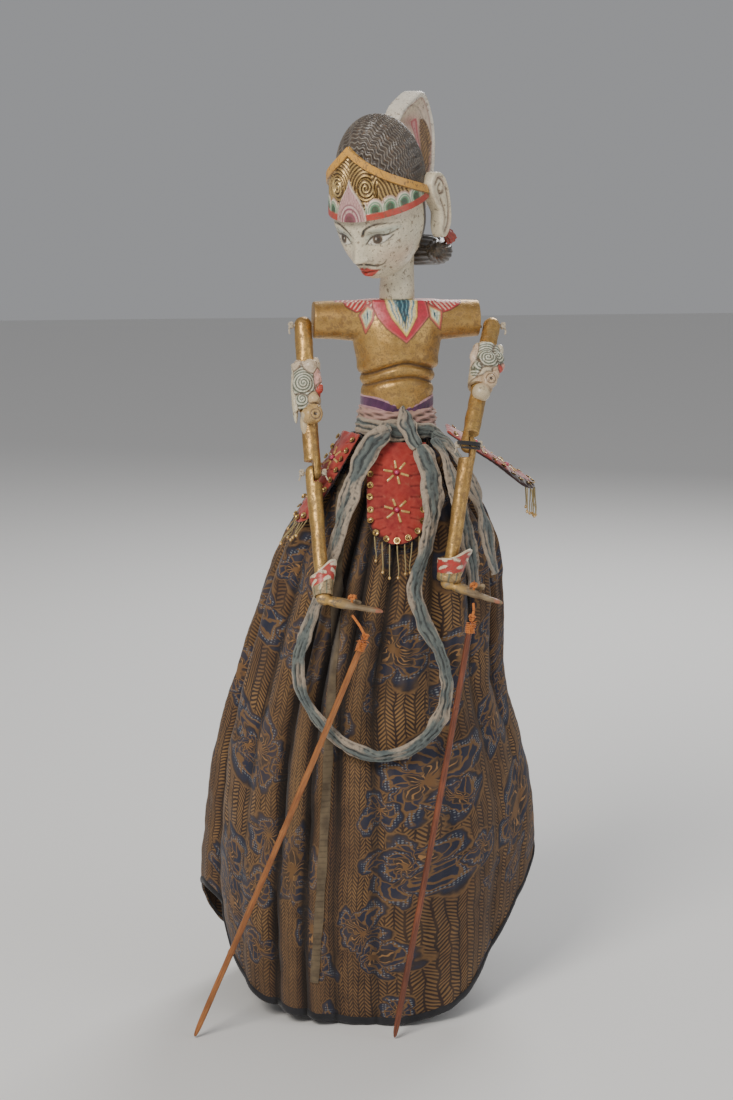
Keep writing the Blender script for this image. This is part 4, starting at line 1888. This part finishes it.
def face_opening():
    strip, across, down = grid_piece("front_facing", 8, 260)
    t = 0.075 + 0.86 * down
    z = WAIST * (1 - t) + 6 * t
    middle, half_x, _ = row_at(z)
    x = -59 + (z - 200) * 0.0805 + across * (3.1 + 0.25 * np.sin(down * 60))
    turn = np.arcsin(np.clip((x - middle) / half_x, -1, 1))
    co = cloth_point(turn, (WAIST - z) / (WAIST - hem_height(turn)), 0.55)
    ladder = 0.25 * np.sin(down * 2 * pi * 90) * (np.abs(across) < 0.8)
    co += np.column_stack([np.sin(turn), -np.cos(turn), turn * 0]) * ladder[:, None]
    set_points(strip, co)
    set_uv(strip, across * 3.1, down * 380)
    face_outwards(strip, np.array((0, -1, 0)))
    store_bends(strip, 1)
    return modifier(strip, "SOLIDIFY", thickness=1.2 * MM, offset=-1.0)


hem_tape = finish_piece(bind_hem(), BLACK_TAPE, "torso", "dark_tape", "hem_binding")
front_facing = finish_piece(face_opening(), PALE_FACING, "torso", "pale_facing", "seam_facing")
ring = [(33.2 * sin(a), -27.4 * cos(a), 415.0 + 0.6 * sin(3 * a)) for a in np.linspace(0.3, 2 * pi + 0.3, 25)]
tie = [twisted("waist_cord", ring, 0.8, 1.2), knot("waist_cord_knot", (-30, -15, 414.5), 2.2, 0.75,
                                                   (-0.6, -0.8, 0))]
bound("waist_drawstring", tie, BLACK_CORD, "torso", "dark_cord", "drawstring")

# %% [markdown]
# ## Waist cloths
#
# Over the skirt's top edge go a purple ribbon with pale borders and, below it, a wider pink cloth that
# is creased from tying. Each is a grid rolled round the waist. The ribbon dips in a V at the front
# where the knot pulls it down.

# %% Ribbon and waist band
def waist_wrap(name, half_x, half_y, low, high, wall, shape):
    """A strip round the oval waist. The shape gives each point's height and how far it stands out."""
    strip, side_to_side, down = grid_piece(name, 220, 26)
    turn = side_to_side * pi
    z, out = shape(turn, down, low, high)
    x = (half_x + wall + out) * np.sin(turn)
    y = -(half_y + wall + out) * np.cos(turn)
    set_points(strip, np.column_stack([x, y, z]))
    set_uv(strip, turn * (half_x + half_y) / 2, down * (high - low))
    face_outwards(strip, np.column_stack([np.sin(turn), -np.cos(turn), turn * 0]))
    with editing(strip):
        bpy.ops.mesh.remove_doubles(threshold=1e-6)
    store_bends(strip, 2)
    return strip


def ribbon_shape(turn, down, low, high):
    dip = 5.5 * bell(turn, 0.15, 0.55) + 1.0 * np.sin(turn * 2 + 1)
    z = high - (high - low) * down - dip
    return z, 0.25 * np.sin(turn * 31 + 4 * down) * bell(turn, 0.15, 0.9) - 0.5 * (2 * down - 1) ** 4


def band_shape(turn, down, low, high):
    slant = np.sin(2 * pi * (down * 3.2 + 1.1 * turn) + 1.5 * np.sin(2.3 * turn)) * 0.75
    slant += np.sin(2 * pi * (down * 5.1 - 1.7 * turn) + 2 * np.sin(1.7 * turn)) * 0.35
    bulge = 2.2 * np.sqrt(np.clip(1 - (2 * down - 1) ** 2, 0, 1))
    z = high - (high - low) * down + 0.8 * np.sin(3 * turn) - 1.8 * bell(turn, 0.2, 0.7)
    return z, bulge + slant


PURPLE_RIBBON = plain_cloth("purple_ribbon", (0.115, 0.035, 0.10), (0.060, 0.018, 0.060), 0.45, 8.0, 0.5, 0.4)
RIBBON_EDGE = plain_cloth("ribbon_edge", (0.50, 0.30, 0.31), (0.36, 0.19, 0.22), 0.45, 8.0, 0.5)
PINK_CLOTH = plain_cloth("pink_cloth", (0.46, 0.27, 0.235), (0.33, 0.215, 0.155), 0.7, 14.0, 1.4)

ribbon = waist_wrap("purple_waist_ribbon", 25.8, 20.4, 434.5, 443.8, 0.8, ribbon_shape)
wear_in(ribbon, PURPLE_RIBBON)
ribbon.data.materials.append(RIBBON_EDGE)
for face in ribbon.data.polygons:
    level = np.mean([ribbon.data.uv_layers.active.data[corner].uv[1] for corner in face.loop_indices]) / MM
    face.material_index = 1 if level < 1.3 or level > 7.6 else 0
modifier(ribbon, "SOLIDIFY", thickness=0.9 * MM, offset=-1.0)
smooth(ribbon)
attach(ribbon, "torso")
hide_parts("waist_ribbon")

band = waist_wrap("pink_waist_band", 25.4, 20.5, 420.0, 435.5, 0.9, band_shape)
modifier(band, "SOLIDIFY", thickness=1.4 * MM, offset=-1.0)
finish_piece(band, PINK_CLOTH, "torso", "pink_cloth", "waist_band")
tell("purple_waist_ribbon", "pink_waist_band")

# %% [markdown]
# ## Sash
#
# The sash is one long strip of thin faded cotton, crumpled lengthwise. It is knotted over the front
# flap, hangs in a long loop down the skirt, and its two ends fall behind the left forearm. The strip is
# rolled round its route with an oval section: wide where it is flat near the knot, narrower where it
# twists at the bottom of the loop. Several ridges run along it, which are its folds.

# %% Lay a crumpled strip along a route
SASH_ROUTE = [
    (-9, -40, 424), (-24, -44, 414), (-37, -49, 389), (-47, -55, 358), (-57, -58, 325), (-69, -62, 294),
    (-79, -69, 265),
    (-77, -76, 242), (-64, -82, 222), (-46, -85, 206), (-24, -86, 198), (0, -86, 203), (18, -83, 220),
    (25, -79, 243),
    (21, -75, 268), (9, -71, 292), (3, -70, 316), (11, -67, 342), (17, -61, 370), (16, -53, 395),
    (9, -44, 415),
]
TAIL_ROUTES = [
    [(19, -29, 420), (33, -33, 411), (46, -40, 388), (55, -47, 362), (60, -54, 334), (64, -57, 318)],
    [(20, -33, 418), (26, -40, 409), (30, -46, 400), (36, -54, 377), (42, -59, 350), (46, -63, 324),
     (47, -66, 308)],
]


def crumpled_strip(name, route, half_wide, half_thick, ridges, seed, twist=0.0, around=72, per_mm=1.1):
    """A closed strip of cloth along a route, its flat side towards the skirt. Widths are spaced evenly."""
    line = curve(route, 14)
    run = np.concatenate([[0], np.cumsum(np.linalg.norm(np.diff(line, axis=0), axis=1))])
    count = int(run[-1] * per_mm)
    t = np.linspace(0, 1, count)
    centre = np.column_stack([np.interp(t * run[-1], run, line[:, k]) for k in range(3)])
    centre = np.array([centre[max(0, i - 6): i + 7].mean(0) for i in range(count)])
    ahead = np.gradient(centre, axis=0)
    ahead /= np.linalg.norm(ahead, axis=1)[:, None]
    out = centre * np.array((1, 1, 0)) + np.array((8, 0, 0))
    out /= np.linalg.norm(out, axis=1)[:, None]
    side = np.cross(ahead, out)
    side /= np.linalg.norm(side, axis=1)[:, None]
    out = np.cross(side, ahead)
    lean = twist * np.sin(2 * pi * t * 3 + seed)
    wide = np.interp(t, np.linspace(0, 1, len(half_wide)),
                     half_wide) * (1 + 0.12 * np.sin(t * run[-1] / 13 + seed) + 0.10
                                   * np.sin(t * run[-1] / 5.3 + 2 * seed))
    thick = np.interp(t, np.linspace(0, 1, len(half_thick)), half_thick)
    end = np.sqrt(np.clip(1 - (2 * t - 1) ** 60, 0.002, 1))
    piece, grid_x, along = grid_piece(name, around, count - 1)
    turn = grid_x * pi
    row = np.clip(np.rint(along * (count - 1)).astype(int), 0, count - 1)
    across = np.cos(turn)
    wander = 1.6 * np.sin(t[row] * run[-1] / 31 + seed) + 0.9 * np.sin(t[row] * run[-1] / 11 + 2 * seed)
    folds = 0.55 * np.abs(np.sin(across * ridges + wander)) ** 0.7 + 0.25 * np.sin(across * ridges * 2.3
        - 1.7 * wander)
    face = np.sin(turn)
    height = np.sign(face) * np.abs(face) ** 0.75 * thick[row] * (0.62 + 0.62 * folds)
    crossing = across * wide[row] * end[row]
    height = height * end[row]
    turned = lean[row]
    along_side = crossing * np.cos(turned) - height * np.sin(turned)
    along_out = crossing * np.sin(turned) + height * np.cos(turned)
    co = centre[row] + side[row] * along_side[:, None] + out[row] * along_out[:, None]
    co += (rough(co, 7, 0.9, seed) + rough(co, 2.6, 0.45, seed + 5))[:, None] * out[row]
    co += rough(co, 9, 1.3, seed + 9)[:, None] * side[row]
    set_points(piece, co)
    set_uv(piece, across * wide[row] * 1.5, t[row] * run[-1])
    outward(piece)
    return piece, run[-1]


def sash_cloth():
    """Faded indigo cotton, blue-grey in patches, with a pinkish-cream border that has lost its dye."""
    made, tree, into = material("faded_sash", Roughness=0.9, Sheen_Weight=0.25)
    uv, spot = place(tree, "UV"), place(tree)
    parts = add(tree, "SeparateXYZ", Vector=uv)
    length_wise = add(tree, "Mapping", Vector=uv, Scale=(1.0, 0.16, 1.0))
    bands = add(tree, "TexNoise", Vector=length_wise.outputs[0], Scale=190.0, Detail=4.0, Roughness=0.6)
    patches = add(tree, "TexNoise", Vector=spot, Scale=34.0, Detail=3.0)
    fine = use(tree, "mottle", Vector=spot, Size=7.0)
    blue = mix(tree, fine["Mask"], (0.070, 0.092, 0.092), (0.135, 0.155, 0.140))
    cream = mix(tree, fine["Fine"], (0.40, 0.32, 0.235), (0.29, 0.225, 0.165))
    edge = times(tree, math(tree, "ABSOLUTE", parts.outputs["X"]), 118.0)
    dyed = math(tree, "ADD", math(tree, "MULTIPLY_ADD", patches.outputs["Fac"], 1.5, -0.66),
                math(tree, "MULTIPLY_ADD", bands.outputs["Fac"], 1.4, -0.40))
    dyed = math(tree, "SUBTRACT", dyed, times(tree, math(tree, "POWER", edge, 3.0), 0.45))
    base = mix(tree, steps(tree, dyed, (0.16, 0.0), (0.36, 1.0)), cream, blue)
    pleats = steps(tree, bands.outputs["Fac"], (0.36, 1.0), (0.44, 0.0))
    base = mix(tree, times(tree, pleats, 0.5), base, (0.05, 0.06, 0.06))
    bend = attribute(tree, "bend")
    hollow = clamped(tree, times(tree, bend, -2.6), 0.9)
    base = mix(tree, hollow, base, (0.022, 0.028, 0.03))
    threads = use(tree, "weave", Vector=uv, Pitch=0.5)
    plug(tree, into["Base Color"], mix(tree, times(tree, threads["Thread"], 0.2), base, (0.5, 0.48, 0.42)))
    soft = bump(tree, bands.outputs["Fac"], 0.6, 0.8)
    plug(tree, into["Normal"], bump(tree, threads["Height"], 0.25, 0.12, soft))
    return made


SASH = sash_cloth()
loop, loop_long = crumpled_strip("sash_hanging_loop", SASH_ROUTE,
                                 [7.2, 8.0, 6.6, 5.0, 4.4, 4.6, 5.0, 5.2, 4.6, 5.2, 6.4, 8.0, 7.4],
                                 [3.2, 3.0, 2.6, 2.8, 2.8, 2.6, 2.8, 2.6, 2.6, 2.6, 3.0, 3.2, 3.2], 4.2, 1.3,
                                 0.45)
store_bends(loop, 2)
finish_piece(loop, SASH, "torso", "sash_cloth", "sash_loop")
tails = []
for i, route in enumerate(TAIL_ROUTES):
    tail, _ = crumpled_strip(f"tail_{i}", route, [3.2, 5.4, 6.8, 8.0, 8.6, 7.6],
                             [1.6, 2.2, 2.2, 2.0, 1.8, 1.4], 4.6, 3.1 + i, 0.25, 60)
    tails.append(tail)
tails = join("sash_hanging_tails", tails)
store_bends(tails, 2)
finish_piece(tails, SASH, "torso", "sash_cloth", "sash_tails")
tell("sash_hanging_loop", "sash_hanging_tails")

# %% [markdown]
# The knot is two short turns of the same strip. One goes across the band under the ribbon, and the
# other comes over it and hides both ends of the loop.

# %% Tie the sash
knot_routes = [
    ([(-31, -12, 424), (-27, -21, 424), (-16, -28.5, 422), (-2, -31, 421), (12, -29.5, 421), (24, -23, 419),
      (32, -30, 411)],
     [4.6, 5.6, 6.6, 7.2, 6.4, 5.2, 4.4], [2.0, 2.4, 2.8, 3.0, 2.8, 2.4, 2.2]),
    ([(2, -23.8, 436), (1.5, -31, 433), (2, -37.5, 426), (5, -41.5, 418), (10, -45.5, 409)],
     [3.6, 5.6, 6.6, 6.8, 6.4], [1.6, 2.4, 3.0, 3.0, 2.6]),
    ([(-12, -30, 428), (-14, -36, 423), (-13, -40.5, 420), (-10, -42, 419)], [3.6, 5.4, 6.2, 5.0],
     [2.0, 2.8, 3.0, 2.4]),
]
parts = []
for i, (route, wide, thick) in enumerate(knot_routes):
    part, _ = crumpled_strip(f"knot_part_{i}", route, wide, thick, 4.4, 0.6 + 1.7 * i, 0.15, 60, 1.6)
    parts.append(part)
sash_knot = join("sash_knot", parts)
store_bends(sash_knot, 2)
finish_piece(sash_knot, SASH, "torso", "sash_cloth")
print("sash loop", round(loop_long), "mm")

# %% [markdown]
# ## Flaps
#
# Three tongues of red velvet hang from the waist. Each is quilted over thin wadding, with sequins sewn
# round its edge, two flowers of long beads and a fringe. The pad is a padded cloth form: a slightly
# smaller blank is rebuilt from even squares and blown up by a short cloth simulation. The sewing then
# pulls dimples into it.

# %% A flap's own frame
FLAPS = {
    "front": (-6.0, (-5.0, -33.0, 413.0), 71.0, 74.0, 22.0),
    "right": (-70.0, (-33.0, -9.5, 417.0), 55.0, 76.0, 14.5),
    "left": (83.0, (35.0, -3.0, 418.0), 32.0, 78.0, 21.0),
}
PAD, SEQUIN = 2.6, 2.2


def flap_frame(which):
    turn, root, slope, _, _ = FLAPS[which]
    turn, slope = radians(turn), radians(slope)
    out = np.array((sin(turn), -cos(turn), 0.0))
    down = out * cos(slope) - np.array((0, 0, 1.0)) * sin(slope)
    face = out * sin(slope) + np.array((0, 0, 1.0)) * cos(slope)
    return np.array(root), np.array((down, np.cross(face, down), face))


def onto_flap(obj, which):
    root, axes = flap_frame(which)
    set_points(obj, points(obj) @ axes + root)
    return obj


def edge_spots(length, half, pitch=8.0):
    inset = half - SEQUIN - 0.8
    straight, bow = length - half - 6, inset * pi
    total = 2 * straight + bow
    count = int(total / pitch)
    for i in range(count + 1):
        s = total * i / count
        if s < straight:
            yield 6 + s, -inset
        elif s < straight + bow:
            yield length - half + inset * sin((s - straight) / inset), -inset * cos((s - straight) / inset)
        else:
            yield 6 + straight - (s - straight - bow), inset


def flap_curl(x, y, which):
    """How far the pad sags and curls from flat: its corners droop and its middle waves."""
    _, _, _, length, half = FLAPS[which]
    t = x / length
    wave = 0.9 * np.sin(x / 11.0 + y / 9.0) * np.clip(t * 2, 0, 1) + 0.7 * np.sin(y / 6.5 + 1.3) * t
    droop = {"front": -0.8, "right": -1.0, "left": -3.2}[which] * t * t
    return wave * 0.8 + droop - 1.2 * (y / half) ** 4 * t


print("flaps:", {which: (place[3], 2 * place[4]) for which, place in FLAPS.items()}, "mm long and wide")

# %% Velvet and lining
def velvet():
    made, tree, into = material("red_velvet", Roughness=0.95, Sheen_Weight=0.55, Sheen_Roughness=0.4)
    spot = place(tree)
    patches = use(tree, "mottle", Vector=spot, Size=18.0)
    bald = use(tree, "specks", Vector=spot, Size=6.0, Amount=0.35)
    pile = add(tree, "TexNoise", Vector=spot, Scale=1500.0, Detail=3.0)
    bend = attribute(tree, "bend")
    red = mix(tree, patches["Mask"], (0.36, 0.030, 0.022), (0.24, 0.018, 0.020))
    red = mix(tree, times(tree, patches["Fine"], 0.5), red, (0.46, 0.075, 0.05))
    red = mix(tree, times(tree, bald["Mask"], 0.35), red, (0.33, 0.12, 0.07))
    hollow = clamped(tree, times(tree, bend, -1.6), 0.8)
    red = mix(tree, hollow, red, (0.075, 0.008, 0.010))
    crown = clamped(tree, bend, 0.5)
    red = mix(tree, crown, red, (0.50, 0.12, 0.08))
    plug(tree, into["Base Color"], mix(tree, attribute(tree, "lining"), red, (0.035, 0.012, 0.012)))
    plug(tree, into["Normal"], bump(tree, pile.outputs["Fac"], 0.5, 0.3))
    return made


VELVET = velvet()


def quilt(which):
    _, _, _, length, half = FLAPS[which]
    outline = [(0, -half + 0.6), (length - half, -half + 0.6)]
    outline += [(length - half + (half - 0.6) * sin(a), -(half - 0.6) * cos(a)) for a in np.linspace(0.1,
        pi - 0.1, 24)]
    outline += [(length - half, half - 0.6), (0, half - 0.6)]
    deselect()
    bpy.ops.mesh.primitive_circle_add(vertices=len(outline), radius=MM, fill_type="NGON")
    pad = named(f"{which}_flap_pad")
    set_points(pad, np.array([(x, y, 0.35) for x, y in outline]))
    with editing(pad):
        bpy.ops.mesh.extrude_region_move(TRANSFORM_OT_translate={"value": (0, 0, 1.9 * MM)})
    outward(pad)
    remesh(pad, 1.0, 1)
    start = points(pad)
    only(pad)
    bpy.ops.object.modifier_add(type="CLOTH")
    cloth = pad.modifiers[-1]
    cloth.settings.quality = 5
    cloth.settings.use_pressure = True
    cloth.settings.uniform_pressure_force = 4.0
    cloth.settings.effector_weights.gravity = 0.0
    cloth.point_cache.frame_start, cloth.point_cache.frame_end = 1, 12
    for frame_number in range(1, 13):
        bpy.context.scene.frame_set(frame_number)
    bpy.ops.object.modifier_apply(modifier=cloth.name)
    moved = points(pad) - start
    far = np.linalg.norm(moved, axis=1)
    limit = np.minimum(1, 1.1 / np.maximum(far, 1e-6))
    set_points(pad, start + moved * limit[:, None])
    bpy.context.scene.frame_set(1)
    modifier(pad, "SUBSURF", levels=1, render_levels=1)
    co = points(pad)
    x, y, z = co.T
    edge = shape_distance(co[:, :2], np.array(outline))
    top = z > PAD / 2
    crown = 0.9 * np.clip(-edge / 9, 0, 1) ** 0.6
    dimples = np.zeros(len(co))
    for sx, sy in edge_spots(length, half):
        dimples += 0.9 * bell(np.hypot(x - sx, y - sy), 0, 2.6)
        dimples += 0.5 * bell(line_distance(co[:, :2], [(sx, sy), (sx * 0.9 + length * 0.05, sy * 0.55)]), 0,
                              0.9)
    for middle in (length * 0.3, length * 0.66):
        dimples += 0.9 * bell(np.hypot(x - middle, y), 0, 3.0)
        for i in range(6):
            a = radians(60 * i + 15)
            dimples += 0.35 * bell(np.hypot(x - middle - 10.5 * cos(a), y - 10.5 * sin(a)), 0, 1.8)
    pucker = 0.35 * np.sin(np.arctan2(y, x - length * 0.5) * 21 + 2 * np.sin(x / 7)) * np.clip(1 + edge / 7,
        0, 1)
    co[:, 2] = z + np.where(top, crown - dimples + pucker, -0.2 * crown - 0.3 * pucker) + flap_curl(x, y,
        which)
    co[:, 2] += rough(co, 8, 0.5, 6) * top
    set_points(pad, co)
    store(pad, "lining", mask(z - 0.9, 0.4))
    onto_flap(pad, which)
    store_bends(pad, 3)
    finish_piece(pad, VELVET, "torso" if which == "front" else f"{which}_flap", "red_velvet", f"{which}_flap")
    return pad


print("velvet:", len(VELVET.node_tree.nodes), "nodes")

# %% [markdown]
# ## Sequins, beads and fringe
#
# One sequin is modelled as a small dished ring and copied to each place, tipped a little so that no two
# shine alike. A flower is a pink bead with six long gold ones. The fringe is thread with a bead at each
# end, and a few loose threads hang from the lining.

# %% Sequin and bead finishes
def brass():
    made, tree, into = material("brass_sequin", Metallic=0.9)
    patches = use(tree, "mottle", Vector=place(tree), Size=4.0)
    tarnish = use(tree, "specks", Vector=place(tree), Size=1.4, Amount=0.6)
    base = mix(tree, patches["Mask"], (0.78, 0.56, 0.22), (0.60, 0.38, 0.12))
    plug(tree, into["Base Color"], mix(tree, times(tree, tarnish["Mask"], 0.6), base, (0.20, 0.11, 0.04)))
    plug(tree, into["Roughness"], math(tree, "MULTIPLY_ADD", patches["Fine"], 0.25, 0.2))
    return made


def glass_bead(name, light, dark):
    made, tree, into = material(name, Roughness=0.18, Coat_Weight=0.6, Coat_Roughness=0.08)
    patches = use(tree, "mottle", Vector=place(tree), Size=5.0)
    plug(tree, into["Base Color"], mix(tree, patches["Mask"], light, dark))
    plug(tree, into["Normal"], bump(tree, patches["Fine"], 0.15, 0.1))
    return made


BRASS = brass()
PINK_BEAD = glass_bead("pink_bead", (0.72, 0.10, 0.20), (0.50, 0.04, 0.11))
GOLD_BEAD = glass_bead("gold_bead", (0.66, 0.42, 0.15), (0.45, 0.25, 0.07))
DARK_BEAD = glass_bead("dark_bead", (0.16, 0.05, 0.03), (0.06, 0.02, 0.02))


def turned(name, profile, around, centre, axis):
    """A small turned piece: a profile of (radius, height) spun round an axis."""
    deselect()
    bpy.ops.mesh.primitive_grid_add(x_subdivisions=around, y_subdivisions=len(profile) - 1, size=2)
    piece = named(name)
    flat = points(piece) * MM
    row = np.clip(np.rint((flat[:, 1] + 1) / 2 * (len(profile) - 1)).astype(int), 0, len(profile) - 1)
    radius, height = np.array(profile, dtype=float)[row].T
    up = Vector(axis).normalized()
    side = up.orthogonal().normalized()
    other = up.cross(side)
    turn = flat[:, 0] * pi
    co = np.outer(radius * np.cos(turn), side) + np.outer(radius * np.sin(turn), other) + np.outer(height, up)
    set_points(piece, co + np.array(centre))
    return outward(piece)


DISH = [(0.75, 0.05), (0.75, 0.35), (1.0, 0.42), (1.55, 0.55), (2.0, 0.95), (2.25, 0.95), (2.25, 0.75),
        (1.6, 0.2), (1.0, 0.05), (0.75, 0.05)]


def trim(which):
    _, _, _, length, half = FLAPS[which]
    random = np.random.default_rng({"front": 1, "right": 2, "left": 3}[which])
    body = "torso" if which == "front" else f"{which}_flap"

    def surface(x, y, lift):
        near = -0.9 * np.clip(np.abs(y) - half + 6, 0, 6) / 6
        return (x, y, PAD + 0.55 + near + float(flap_curl(np.float64(x), np.float64(y), which)) + lift)

    rings, hearts = [], []
    for i, (x, y) in enumerate(edge_spots(length, half)):
        tip = (random.normal(0, 0.16), random.normal(0, 0.16), 1)
        at = surface(x + random.normal(0, 0.4), y + random.normal(0, 0.3), 0.1)
        rings.append(turned(f"ring_{i}", DISH, 16, at, tip))
        hearts.append(turned(f"heart_{i}", [(0.02, 0.0), (0.6, 0.15), (0.8, 0.6), (0.5, 1.0), (0.02, 1.12)],
                             8, at, tip))
    finish_piece(onto_flap(join(f"{which}_flap_rings", rings), which), BRASS, body, "sequins",
                 f"{which}_flap_sequins", angle=40)
    long_beads, middles = [], []
    for middle in (length * 0.3, length * 0.66):
        centre = surface(middle, 0, 0.6)
        middles.append(turned("middle", [(0.02, -0.9), (1.2, -0.7), (1.75, 0.2), (1.5, 1.2), (0.8, 1.7),
                                         (0.02, 1.8)], 14, centre, (0, 0, 1)))
        for i in range(6):
            angle = radians(60 * i + 15) + random.normal(0, 0.07)
            near, far = 2.9, 9.2 + random.normal(0, 0.4)
            lift = 0.35
            start = np.array(surface(middle + near * cos(angle), near * sin(angle), lift))
            end = np.array(surface(middle + far * cos(angle), far * sin(angle), lift))
            reach = np.linalg.norm(end - start)
            half_way = reach / 2
            long_beads.append(turned("bugle", [(0.35, 0.0), (0.85, 0.05), (0.95, 0.4),
                                               (0.95, half_way - 0.15), (0.7, half_way),
                                               (0.95, half_way + 0.15), (0.95, reach - 0.4),
                                               (0.85, reach - 0.05), (0.35, reach)],
                                     10, start, tuple(end - start)))
    finish_piece(onto_flap(join(f"{which}_flap_rays", long_beads), which), GOLD_BEAD, body, "beads",
                 f"{which}_flap_flowers", angle=40)
    finish_piece(onto_flap(join(f"{which}_flap_middles", middles), which), PINK_BEAD, body, "beads")
    finish_piece(onto_flap(join(f"{which}_flap_hearts", hearts), which), DARK_BEAD, body, "beads")
    root, axes = flap_frame(which)
    turn = radians(FLAPS[which][0])
    lean = 0.75 if which == "right" else 0.0
    hang = np.array((lean * sin(turn), -lean * cos(turn), -1.0))
    hang /= np.linalg.norm(hang)
    threads, drops = [], []
    for i in np.linspace(-2.4, 2.4, 7):
        across = i * half * 0.3
        reach = length - half + (half ** 2 - across ** 2) ** 0.5 - 0.4
        local = np.array((reach, across, PAD / 2 + float(flap_curl(np.float64(reach), np.float64(across),
                                                                   which))))
        top = local @ axes + root
        fall = (18 if which == "right" else 24) - 2.2 * abs(i) + random.normal(0, 1.2)
        sway = random.normal(0, 1.0, 3) * (1, 1, 0)
        route = [tuple(top), tuple(top + hang * fall * 0.4 + sway * 0.5),
                 tuple(top + hang * fall * 0.75 + sway * 1.4), tuple(top + hang * fall + sway)]
        threads.append(twisted("thread", route, 0.42, 1.3, 2))
        drops.append(turned("drop", [(0.02, -1.2), (0.8, -0.9), (1.2, 0), (0.9, 0.9), (0.3, 1.3),
                                     (0.02, 1.35)], 10, route[-1], (0, 0, 1)))
    fringe = join(f"{which}_flap_threads", threads)
    store_bends(fringe, 1)
    finish_piece(fringe, FRINGE_THREAD, body, "fringe_thread", f"{which}_flap_fringe")
    finish_piece(join(f"{which}_flap_drops", drops), GOLD_BEAD, body, "beads", angle=40)


for which in FLAPS:
    quilt(which)
    trim(which)


tell("front_flap_pad", "right_flap_pad", "left_flap_pad", "front_flap_rings")

# %% [markdown]
# ## Stand and central rod
#
# The stand, the rod, its peg and the wrist dowels have the right shape in the frame already. They only
# need a finish: dark oiled hardwood for the turned stand, and pale bare wood, greyed where it is
# gripped, for the rest.

# %% Wood finishes for the frame's own pieces
def bare_wood(name, light, dark, streak, rough_value, coat):
    made, tree, into = material(name, Coat_Weight=coat, Coat_Roughness=0.25)
    spot = place(tree)
    fibre = use(tree, "grain", Vector=spot, Size=streak)
    broad = use(tree, "grain", Vector=spot, Size=streak * 5)
    patches = use(tree, "mottle", Vector=spot, Size=40.0)
    nicks = use(tree, "specks", Vector=spot, Size=2.6, Amount=0.3)
    base = mix(tree, fibre["Mask"], light, dark)
    base = mix(tree, times(tree, broad["Mask"], 0.5), base, tuple(c * 0.6 for c in dark))
    base = mix(tree, times(tree, patches["Mask"], 0.3), base, tuple(c * 0.8 for c in light))
    plug(tree, into["Base Color"], mix(tree, times(tree, nicks["Mask"], 0.5), base,
                                       tuple(c * 0.4 for c in dark)))
    plug(tree, into["Roughness"], math(tree, "MULTIPLY_ADD", fibre["Mask"], 0.15, rough_value))
    plug(tree, into["Normal"], bump(tree, fibre["Height"], 0.3, 0.25))
    return made


STAND_WOOD = bare_wood("stand_hardwood", (0.13, 0.062, 0.028), (0.055, 0.024, 0.011), 2.4, 0.38, 0.3)
ROD_WOOD = bare_wood("rod_softwood", (0.46, 0.33, 0.19), (0.28, 0.18, 0.10), 1.6, 0.55, 0.05)
for node in frame["nodes"]:
    if node == "stand_base":
        wear_in(frame["nodes"][node], STAND_WOOD)
    elif node in ("central_rod", "stop_peg", "right_wrist_dowel", "left_wrist_dowel"):
        wear_in(frame["nodes"][node], ROD_WOOD)


print("wood finishes:", STAND_WOOD.name, ROD_WOOD.name)

# %% [markdown]
# ## Floor, light and camera
#
# A pale floor and large soft lights show the carving without hard shadows. The camera stands a little
# to the puppet's right and above its head, and looks slightly down.

# %% Stage
def stage_material():
    made, tree, into = material("pale_floor", Roughness=0.85)
    plug(tree, into["Base Color"], (0.80, 0.79, 0.77))
    return made


deselect()
bpy.ops.mesh.primitive_plane_add(size=12.0, location=(0, 0, 0))
floor = wear_in(named("floor"), stage_material())

world = bpy.data.worlds.new("studio")
bpy.context.scene.world = world
world.use_nodes = True
world.node_tree.nodes["Background"].inputs["Color"].default_value = (0.86, 0.87, 0.90, 1)
world.node_tree.nodes["Background"].inputs["Strength"].default_value = 0.36


def softbox(name, where, aim, size, power, colour=(1, 1, 1)):
    bpy.ops.object.light_add(type="AREA", location=where)
    lamp = bpy.context.object
    lamp.name = name
    lamp.data.shape = "SQUARE"
    lamp.data.size = size
    lamp.data.energy = power
    lamp.data.color = colour
    lamp.rotation_euler = (Vector(aim) - Vector(where)).to_track_quat("-Z", "Y").to_euler()


softbox("key", (-1.1, -1.5, 1.7), (0, 0, 0.35), 0.9, 40, (1.0, 0.96, 0.90))
softbox("fill", (1.6, -1.2, 0.9), (0, 0, 0.3), 1.4, 8, (0.93, 0.96, 1.0))
softbox("rim", (0.7, 1.5, 1.5), (0, 0, 0.4), 0.9, 24)
print("lights:", [lamp.name for lamp in bpy.data.lights])

# %% Camera
CAMERA_AT = Vector((-236.6, -1683.5, 640.0)) * MM
CAMERA_AIM = Vector((-22.0, 0.0, 330.0)) * MM
bpy.ops.object.camera_add(location=CAMERA_AT)
camera = bpy.context.object
camera.name = "camera"
camera.rotation_euler = (CAMERA_AIM - CAMERA_AT).to_track_quat("-Z", "Y").to_euler()
camera.data.sensor_fit = "VERTICAL"
camera.data.sensor_height = 36.0
camera.data.lens = 77.46
bpy.context.scene.camera = camera
print("camera at", CAMERA_AT, "looking at", CAMERA_AIM)
